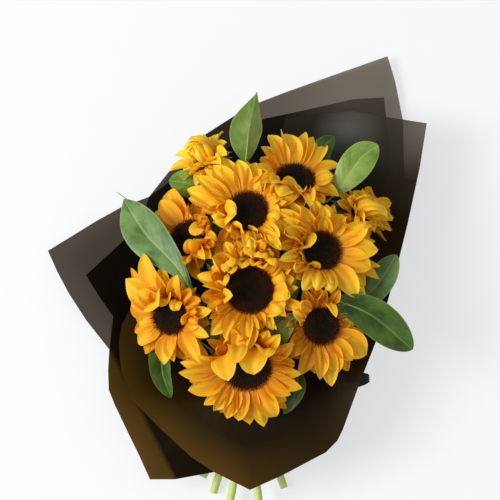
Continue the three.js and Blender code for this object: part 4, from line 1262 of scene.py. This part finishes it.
def make_stem(head):
    rng = random.Random(300 + len(head.name) + int(head.disc))

    def back(depth):
        return head.centre - head.facing * depth

    foot = CUP_TOP + CUP_DEPTH
    curve = Curve([*tied_route(FLOWERS[head.name]), back(foot + STEM_STRAIGHT), back(foot), back(CUP_TOP + 3)])
    mesh = Mesh()
    shares = np.linspace(0, 1 - (CUP_DEPTH - 2) / curve.length, STEM_ROWS)
    centres = curve.at(shares)
    swell = 1 + 0.05 * np.sin(shares * 37) + 0.16 * smooth(shares, 0.9, 1)
    mesh.tube(centres, STEM_RADIUS * 0.97 * swell, STEM_SIDES, slot=STALK_SLOT, ribs=9, rib_height=0.03)
    add_cut_end(mesh, centres[:2], STEM_RADIUS, STEM_SIDES, (0.78, 0.5, 0.2), 0.12, 0.05)
    rim = head.disc + 2.0
    profile = [
        (foot, STEM_RADIUS), (foot - 2, STEM_RADIUS + 1.6), (foot - 6, rim * 0.55), (CUP_TOP + 6, rim * 0.82),
        (CUP_TOP + 3, rim * 0.97), (CUP_TOP + 1, rim), (CUP_TOP, rim - 1.5),
    ]
    outs = np.array([head.outward(angle) for angle in turns(CUP_SIDES)])
    cup = np.stack([back(depth) + outs * radius for depth, radius in profile])
    first = mesh.grid(cup, ring=True, slot=BRACT_SLOT)
    mesh.cap(first + (len(profile) - 1) * CUP_SIDES, CUP_SIDES, back(CUP_TOP), slot=BRACT_SLOT)
    add_bracts(mesh, head, rng)
    stand_for(f"stem_{head.name}", "stem", mesh, "stalk", STALK, PITH, BRACT)


# ---- leaves and twigs ----------------------------------------------------------------------------

TWIG_CURVES = {name: Curve(tied_route(twig)) for name, twig in TWIGS.items()}


def make_twig(name):
    curve = TWIG_CURVES[name]
    mesh = Mesh()
    shares = np.linspace(0, 1, TWIG_ROWS)
    swell = 1.04 - 0.2 * smooth(shares, 0.6, 1) + 0.04 * np.sin(shares * 51)
    mesh.tube(curve.at(shares), TWIG_RADIUS * swell, TWIG_SIDES, slot=STALK_SLOT, ribs=5, rib_height=0.04)
    add_cut_end(mesh, curve.at([0, 0.004]), TWIG_RADIUS, TWIG_SIDES, (0.75, 0.3), 0.1, 0.08)
    stand_for(f"twig_{name}", "stem", mesh, "stalk", STALK, PITH)


LEAF_ROWS, LEAF_COLUMNS = 49, 25
LEAF_STALK_RADIUS, LEAF_STALK_ROWS, LEAF_STALK_SIDES, LEAF_STALK_SLOT = 1.15, 60, 8, 1
THREAD_ROWS, THREAD_SIDES = 24, 6
TEETH, TOOTH = 26, 0.022  # along a leaf's edge, and their size as a share of its width
QUILT = 0.55  # height of the blade between two veins
# fold is the V along the midrib, droop how far the edges hang and wave how high they wave. broadest is the share of
# the length where the blade is broadest and taper how narrow it stays before that. end names one of LEAF_TIPS.
LEAF_TIPS = {"plain": (2.1, 0.9), "blunt": (2.3, 0.68), "sharp": (1.9, 1.3)}
LEAF_SHAPES = {
    "top_middle": dict(fold=-0.55, droop=0.0, wave=1.4, end="sharp"),
    "top_left_small": dict(fold=0.15, droop=0.10, wave=1.0, end="blunt"),
    "left_long": dict(fold=0.34, droop=0.04, wave=2.4, broadest=0.7, taper=3.0),
    "bottom_left": dict(fold=0.90, droop=-0.20, wave=0.8, broadest=0.5, end="blunt"),
    "right_long": dict(fold=0.44, droop=-0.2, wave=3.4, broadest=0.55, end="blunt"),
    "right_back": dict(fold=0.20, droop=0.05, wave=1.6, broadest=0.6, end="blunt"),
    "middle_small": dict(fold=0.25, droop=0.0, wave=0.8),
    "bottom_right": dict(fold=0.20, droop=0.0, wave=0.8, end="blunt"),
    "right_upper": dict(fold=0.16, droop=0.06, wave=1.2, broadest=0.6, end="blunt"),
    "top_right_hidden": dict(fold=0.20, droop=0.0, wave=1.0, end="blunt"),
}


def leaf_outline(t, shape):
    """Share of a leaf's half width along its blade."""
    broadest = shape.get("broadest", 0.45)
    rise = np.sin(np.clip(t / broadest, 0, 1) * math.pi / 2) ** shape.get("taper", 1.0)
    x = np.clip((t - broadest) / (1 - broadest), 0, 1)
    length_power, width_power = LEAF_TIPS[shape.get("end", "plain")]
    return rise * (1 - x ** length_power) ** width_power


def make_leaf(name, film):
    leaf, shape = LEAVES[name], LEAF_SHAPES[name]
    joint = TWIG_CURVES[leaf["twig"]].at([leaf["at"]])[0]
    start_way = unit(arr(*leaf["rib"][0]) - joint)
    start = joint + start_way * (0.5 if leaf["at"] == 1 else TWIG_RADIUS * 0.6)
    curve = Curve([start, *leaf["rib"]])
    stalk_end = np.linalg.norm(arr(*leaf["rib"][0]) - start) / curve.length
    t = np.linspace(0, 1, LEAF_ROWS)
    shares = stalk_end + (1 - stalk_end) * t
    side, up = across_line(curve.along(shares), unit(leaf["across"]))
    if up[:, 2].mean() < 0:
        up = -up
    u = np.linspace(-1, 1, LEAF_COLUMNS)
    teeth = 1 + TOOTH * np.abs((t * TEETH) % 1 - 0.5) * smooth(t, 0.1, 0.3)
    half = leaf["width"] / 2 * np.maximum(leaf_outline(t, shape) * teeth, 0.02)
    rng = random.Random(500 + len(name))
    phase = rng.uniform(0, 6)
    across = np.abs(u)[None, :]
    height = shape["fold"] * half[:, None] * (across - 0.35 * across ** 2)
    height = height - shape["droop"] * half[:, None] * across ** 2
    margin = np.sin(t[:, None] * 15 + phase + 2.1 * np.sign(u)[None, :])
    height = height + shape["wave"] * margin * across ** 2 * smooth(t, 0.1, 0.35)[:, None] * (1 - 0.6 * t[:, None])
    from_vein = np.abs((t[:, None] * VEIN_PAIRS - across * VEIN_SLANT) % 1 - 0.5)
    quilt = QUILT * smooth(from_vein, 0.0, 0.25) * np.sin(math.pi * np.clip(across, 0, 1))
    quilt = quilt * smooth(half, 2, 8)[:, None]
    points = curve.at(shares)[:, None, :] + spread(half[:, None] * u, side) + spread(height + quilt, up)
    mesh = Mesh()
    mesh.grid(above_film(points, film))
    # The stalk runs on under the blade as its midrib.
    along = np.linspace(0, 1, LEAF_STALK_ROWS)
    radii = LEAF_STALK_RADIUS * (1 - smooth(along, stalk_end, 1) * 0.85)
    lowering = smooth(along, stalk_end * 0.8, stalk_end * 1.1)[:, None] * 0.55
    rows = np.maximum(along - stalk_end, 0) / (1 - stalk_end) * (LEAF_ROWS - 1)
    mesh.tube(curve.at(along) - up[rows.astype(int)] * lowering, radii, LEAF_STALK_SIDES, slot=LEAF_STALK_SLOT)
    if "thread" in leaf:  # a thin dry tip beside the blade
        thread = Curve(leaf["thread"]).at(np.linspace(0, 1, THREAD_ROWS))
        mesh.tube(thread, np.linspace(0.9, 0.4, THREAD_ROWS), THREAD_SIDES)
    stand_for(f"leaf_{name}", "leaf", mesh, "blade", LEAF[leaf["tone"]], STALK)


# ---- the wrap ------------------------------------------------------------------------------------

FINE_TURN = math.radians(1.6)  # widest turn about the neck from one ruling to the next
FINE_STEP = 9  # and longest stretch of the rim between them
FILM_ROWS = 34
PLEATS = 34
NECK_PLEAT, FLARE_PLEAT = 0.3, 2.2  # their heights at the neck and where the film spreads
NECK_ROWS = 5
SWELL = 4.0  # height of the film's gentle swells


def turn_about_neck(point):
    return math.atan2(TIE_Y - point[1], point[0] - TIE_X)


def fine_rim(rim):
    points = [arr(*p) for p in rim]
    fine = [points[0]]
    for before, after in zip(points, points[1:]):
        turn = abs(turn_about_neck(after) - turn_about_neck(before))
        turn = min(turn, 2 * math.pi - turn)
        parts = max(math.ceil(turn / FINE_TURN), math.ceil(np.linalg.norm(after - before) / FINE_STEP))
        fine.extend(lerp(before, after, k / parts) for k in range(1, parts + 1))
    return fine


def soft_field(x, y):
    """Gentle swells of the film, the same for every sheet so that they nest. From 0 to 1."""
    wave = np.sin(x * 0.021 + y * 0.013 + 0.6) + np.sin(x * 0.034 - y * 0.027 + 2.1) * 0.6
    return 0.5 + wave / 3.2


def ruling(sheet, rim_point):
    """One line of a sheet from its lower edge, through the neck, to the rim."""
    radius = FIRST_FILM_RADIUS + sheet["order"] * FILM_PITCH
    turn = turn_about_neck(rim_point)
    front = max(0.0, math.sin(turn))

    def ring_point(y):
        r = radius + NECK_PLEAT * math.sin(turn * PLEATS)
        return arr(TIE_X + r * math.cos(turn), y, TIE_Z + r * math.sin(turn))

    points = [ring_point(y) for y in np.linspace(NECK_START, NECK_END, NECK_ROWS)]
    start = ring_point(NECK_END)
    for row in range(1, FILM_ROWS + 1):
        t = row / FILM_ROWS
        across = 3 * t ** 2 * (1 - t) * FLARE_END + t ** 3 + FLARE_SPREAD * t * (1 - t)
        place = lerp(start, rim_point, across)
        bowl = lerp(FILM_BOWL, FRONT_BOWL, front)
        raised = sheet["lift"] * front * FILM_BOW * math.sin(math.pi * t)
        place[2] = lerp(start[2], rim_point[2], t ** bowl) + raised
        if sheet.get("on_surface"):
            down = start[2] * max(0.0, 1 - t / BED_START)
            place[2] = down + rim_point[2] * max(0.0, (t - BED_END) / (1 - BED_END))
        place[1] += sheet["lead"] * 3 * t * (1 - t) ** 2
        pleat = FLARE_PLEAT * math.sin(turn * PLEATS) * math.sin(math.pi * min(1, t * 2.2)) * (1 - t) ** 2
        place[2] += max(pleat, 0) + SWELL * float(soft_field(place[0], place[1])) * float(smooth(t, 0.1, 0.5))
        points.append(place)
    return points


def sheet_rows(name):
    return np.array([ruling(SHEETS[name], point) for point in fine_rim(SHEETS[name]["rim"])])


def film_tree():
    """All sheets' surfaces, in the bunch's own millimetres."""
    mesh = Mesh()
    for name in SHEETS:
        mesh.grid(sheet_rows(name))
    return BVHTree.FromPolygons(np.concatenate(mesh.points).tolist(), mesh.faces)


def make_sheet(name):
    mesh = Mesh()
    mesh.grid(sheet_rows(name))
    piece = stand_for(name, "film", mesh, "film", FILM[SHEETS[name]["tint"]])


# ---- the tie and the ribbon ----------------------------------------------------------------------

TWINE_RADIUS, TWINE_TURNS, TWINE_WIDTH = 0.76, 4, 6.2  # the width is between the first turn and the last
TWINE_OUT = 0.75  # from the tie's radius to the twine's middle
TWINE_ROWS, TWINE_SIDES = 260, 10
STRIP_ROWS, STRIP_COLUMNS = 64, 9
BAND_SIDES, BAND_COLUMNS = 96, 11
BAND_OUT, BAND_THICKNESS = 0.85, 0.7
KNOT_ROWS, KNOT_COLUMNS = 25, 36


def make_tie():
    shares = np.linspace(0, 1, TWINE_ROWS)
    angle = shares * TWINE_TURNS * 2 * math.pi
    ring = TIE_RADIUS + TWINE_OUT
    centres = np.stack([
        TIE_X + ring * np.cos(angle), TIE_Y + (shares - 0.5) * TWINE_WIDTH, TIE_Z + ring * np.sin(angle),
    ], axis=1)
    mesh = Mesh()
    mesh.tube(centres, TWINE_RADIUS, TWINE_SIDES)
    stand_for("tie", "twine", mesh, "twine", TWINE)


def add_ribbon(mesh, centres, side, up, half):
    """A closed flat strip of ribbon with softly rounded folds across it."""
    u = np.linspace(-1, 1, STRIP_COLUMNS)
    crease = 0.9 * (1 - half / half.max())[:, None] * np.cos(u * 3 * math.pi)[None, :]
    top = centres[:, None, :] + spread(half[:, None] * u, side) + spread(crease, up)
    skin = up[:, None, :] * RIBBON_THICKNESS / 2
    loop = np.concatenate([top + skin, (top - skin)[:, ::-1]], axis=1)
    first = mesh.grid(loop, ring=True)
    for row, flip in ((0, True), (len(centres) - 1, False)):
        mesh.cap(first + row * loop.shape[1], loop.shape[1], loop[row].mean(axis=0), flip=flip)


def make_bow_strip(name):
    strip = BOW_STRIPS[name]
    curve = Curve(strip["line"])
    shares = np.linspace(0, 1, STRIP_ROWS)
    side, up = across_line(curve.along(shares), unit(strip["across"]))
    closed = np.linalg.norm(arr(*strip["line"][0]) - arr(*strip["line"][-1])) < BOW_WIDTH
    from_knot = np.minimum(shares, 1 - shares) if closed else shares
    half = BOW_WIDTH / 2 * np.minimum(1, 0.35 + 3.2 * from_knot)
    if closed:  # a loop is narrower and rounded at its far end
        half = half * (1 - 0.34 * smooth(from_knot, 0.2, 0.38))
        half = half * np.sqrt(1 - 0.92 * np.clip((from_knot - 0.4) / 0.1, 0, 1) ** 2)
    mesh = Mesh()
    add_ribbon(mesh, curve.at(shares), side, up, half)
    piece = stand_for(name, "ribbon", mesh, "satin", RIBBON)


def make_ribbon_band():
    radius = FIRST_FILM_RADIUS + SHEET_LAYERS * FILM_PITCH + BAND_OUT
    angles = turns(BAND_SIDES)
    across = np.linspace(-1, 1, BAND_COLUMNS)
    outer = radius + 0.45 * np.cos(across * 4 * math.pi)
    inner = outer[::-1] - BAND_THICKNESS
    section_y = np.concatenate([across, across[::-1]]) * RIBBON_WIDTH / 2
    section_r = np.concatenate([outer, inner])
    rows = np.stack([
        TIE_X + section_r[:, None] * np.cos(angles)[None, :],
        RIBBON_Y + section_y[:, None] + 0.3 * np.sin(angles * 5)[None, :],
        TIE_Z + section_r[:, None] * np.sin(angles)[None, :],
    ], axis=-1)
    mesh = Mesh()
    mesh.grid(np.concatenate([rows, rows[:1]]), ring=True)
    stand_for("ribbon_band", "ribbon", mesh, "satin", RIBBON)


def make_knot():
    latitudes = np.linspace(-math.pi / 2 + 0.05, math.pi / 2 - 0.05, KNOT_ROWS)
    lat, lon = np.meshgrid(latitudes, turns(KNOT_COLUMNS), indexing="ij")
    folds = 1 + 0.05 * np.cos(lon * 2 + lat * 7)
    ball = np.stack([
        np.sign(np.cos(lon)) * np.abs(np.cos(lon)) ** 0.7 * np.cos(lat) ** 0.6,
        np.sin(lat),
        np.sign(np.sin(lon)) * np.abs(np.sin(lon)) ** 0.7 * np.cos(lat) ** 0.6,
    ], axis=-1)
    points = KNOT_CENTRE + ball * folds[:, :, None] * KNOT_SIZE / 2
    mesh = Mesh()
    first = mesh.grid(points, ring=True)
    mesh.cap(first, KNOT_COLUMNS, points[0].mean(axis=0), flip=True)
    mesh.cap(first + (KNOT_ROWS - 1) * KNOT_COLUMNS, KNOT_COLUMNS, points[-1].mean(axis=0))
    stand_for("ribbon_knot", "ribbon", mesh, "satin", RIBBON)


# ---- the surface and the light, in metres and watts ----------------------------------------------

FLOOR_HALF, FLOOR_DROP = 6, 0.0004
KEY_PLACE, KEY_TARGET, KEY_SIZE, KEY_POWER = (-2.8, -0.3, 2.7), (0, 0, 0.1), 2.2, 138
ROOM_COLOUR, ROOM_STRENGTH = (0.96, 0.98, 1.0, 1), 0.54


def make_stage():
    s = Shader("paper")
    shade = s.mix(s.noise(s.place(), 0.02), colour(150, 151, 151), colour(153, 154, 154))
    paper = s.finish(s.principled(
        Base_Color=shade, Roughness=0.9, Specular_IOR_Level=0.1, Emission_Color=colour(252, 253, 255),
        Emission_Strength=0.625, Normal=s.bump(s.noise(s.place(), 1.5), 0.05, 0.1),
    ))
    mesh = bpy.data.meshes.new("floor")
    corners = [(x * FLOOR_HALF, y * FLOOR_HALF, 0) for x, y in ((-1, -1), (1, -1), (1, 1), (-1, 1))]
    mesh.from_pydata(corners, [], [(0, 1, 2, 3)])
    mesh.materials.append(paper)
    floor = bpy.data.objects.new("floor", mesh)
    floor.location.z = -FLOOR_DROP
    bpy.context.collection.objects.link(floor)


def make_lights():
    scene = bpy.context.scene
    world_light = bpy.data.worlds.new("room")
    world_light.use_nodes = True
    background = world_light.node_tree.nodes["Background"]
    background.inputs["Color"].default_value = ROOM_COLOUR
    background.inputs["Strength"].default_value = ROOM_STRENGTH
    scene.world = world_light
    data = bpy.data.lights.new("key", "AREA")
    data.shape = "DISK"
    data.size = KEY_SIZE
    data.energy = KEY_POWER
    light = bpy.data.objects.new("key", data)
    light.location = KEY_PLACE
    light.rotation_mode = "QUATERNION"
    light.rotation_quaternion = (Vector(KEY_TARGET) - Vector(KEY_PLACE)).to_track_quat("-Z", "Y")
    bpy.context.collection.objects.link(light)
    scene.view_settings.view_transform = "Standard"


# ---- assembly ------------------------------------------------------------------------------------

film_surface = film_tree()
for flower_name in FLOWERS:
    flower_head = Head(flower_name)
    make_petals(flower_head, film_surface)
    make_disc(flower_head)
    make_stem(flower_head)
for twig_name in TWIGS:
    make_twig(twig_name)
for leaf_name in LEAVES:
    make_leaf(leaf_name, film_surface)
for sheet_name in SHEETS:
    make_sheet(sheet_name)
make_tie()
make_ribbon_band()
make_knot()
for strip_name in BOW_STRIPS:
    make_bow_strip(strip_name)
make_stage()
make_lights()
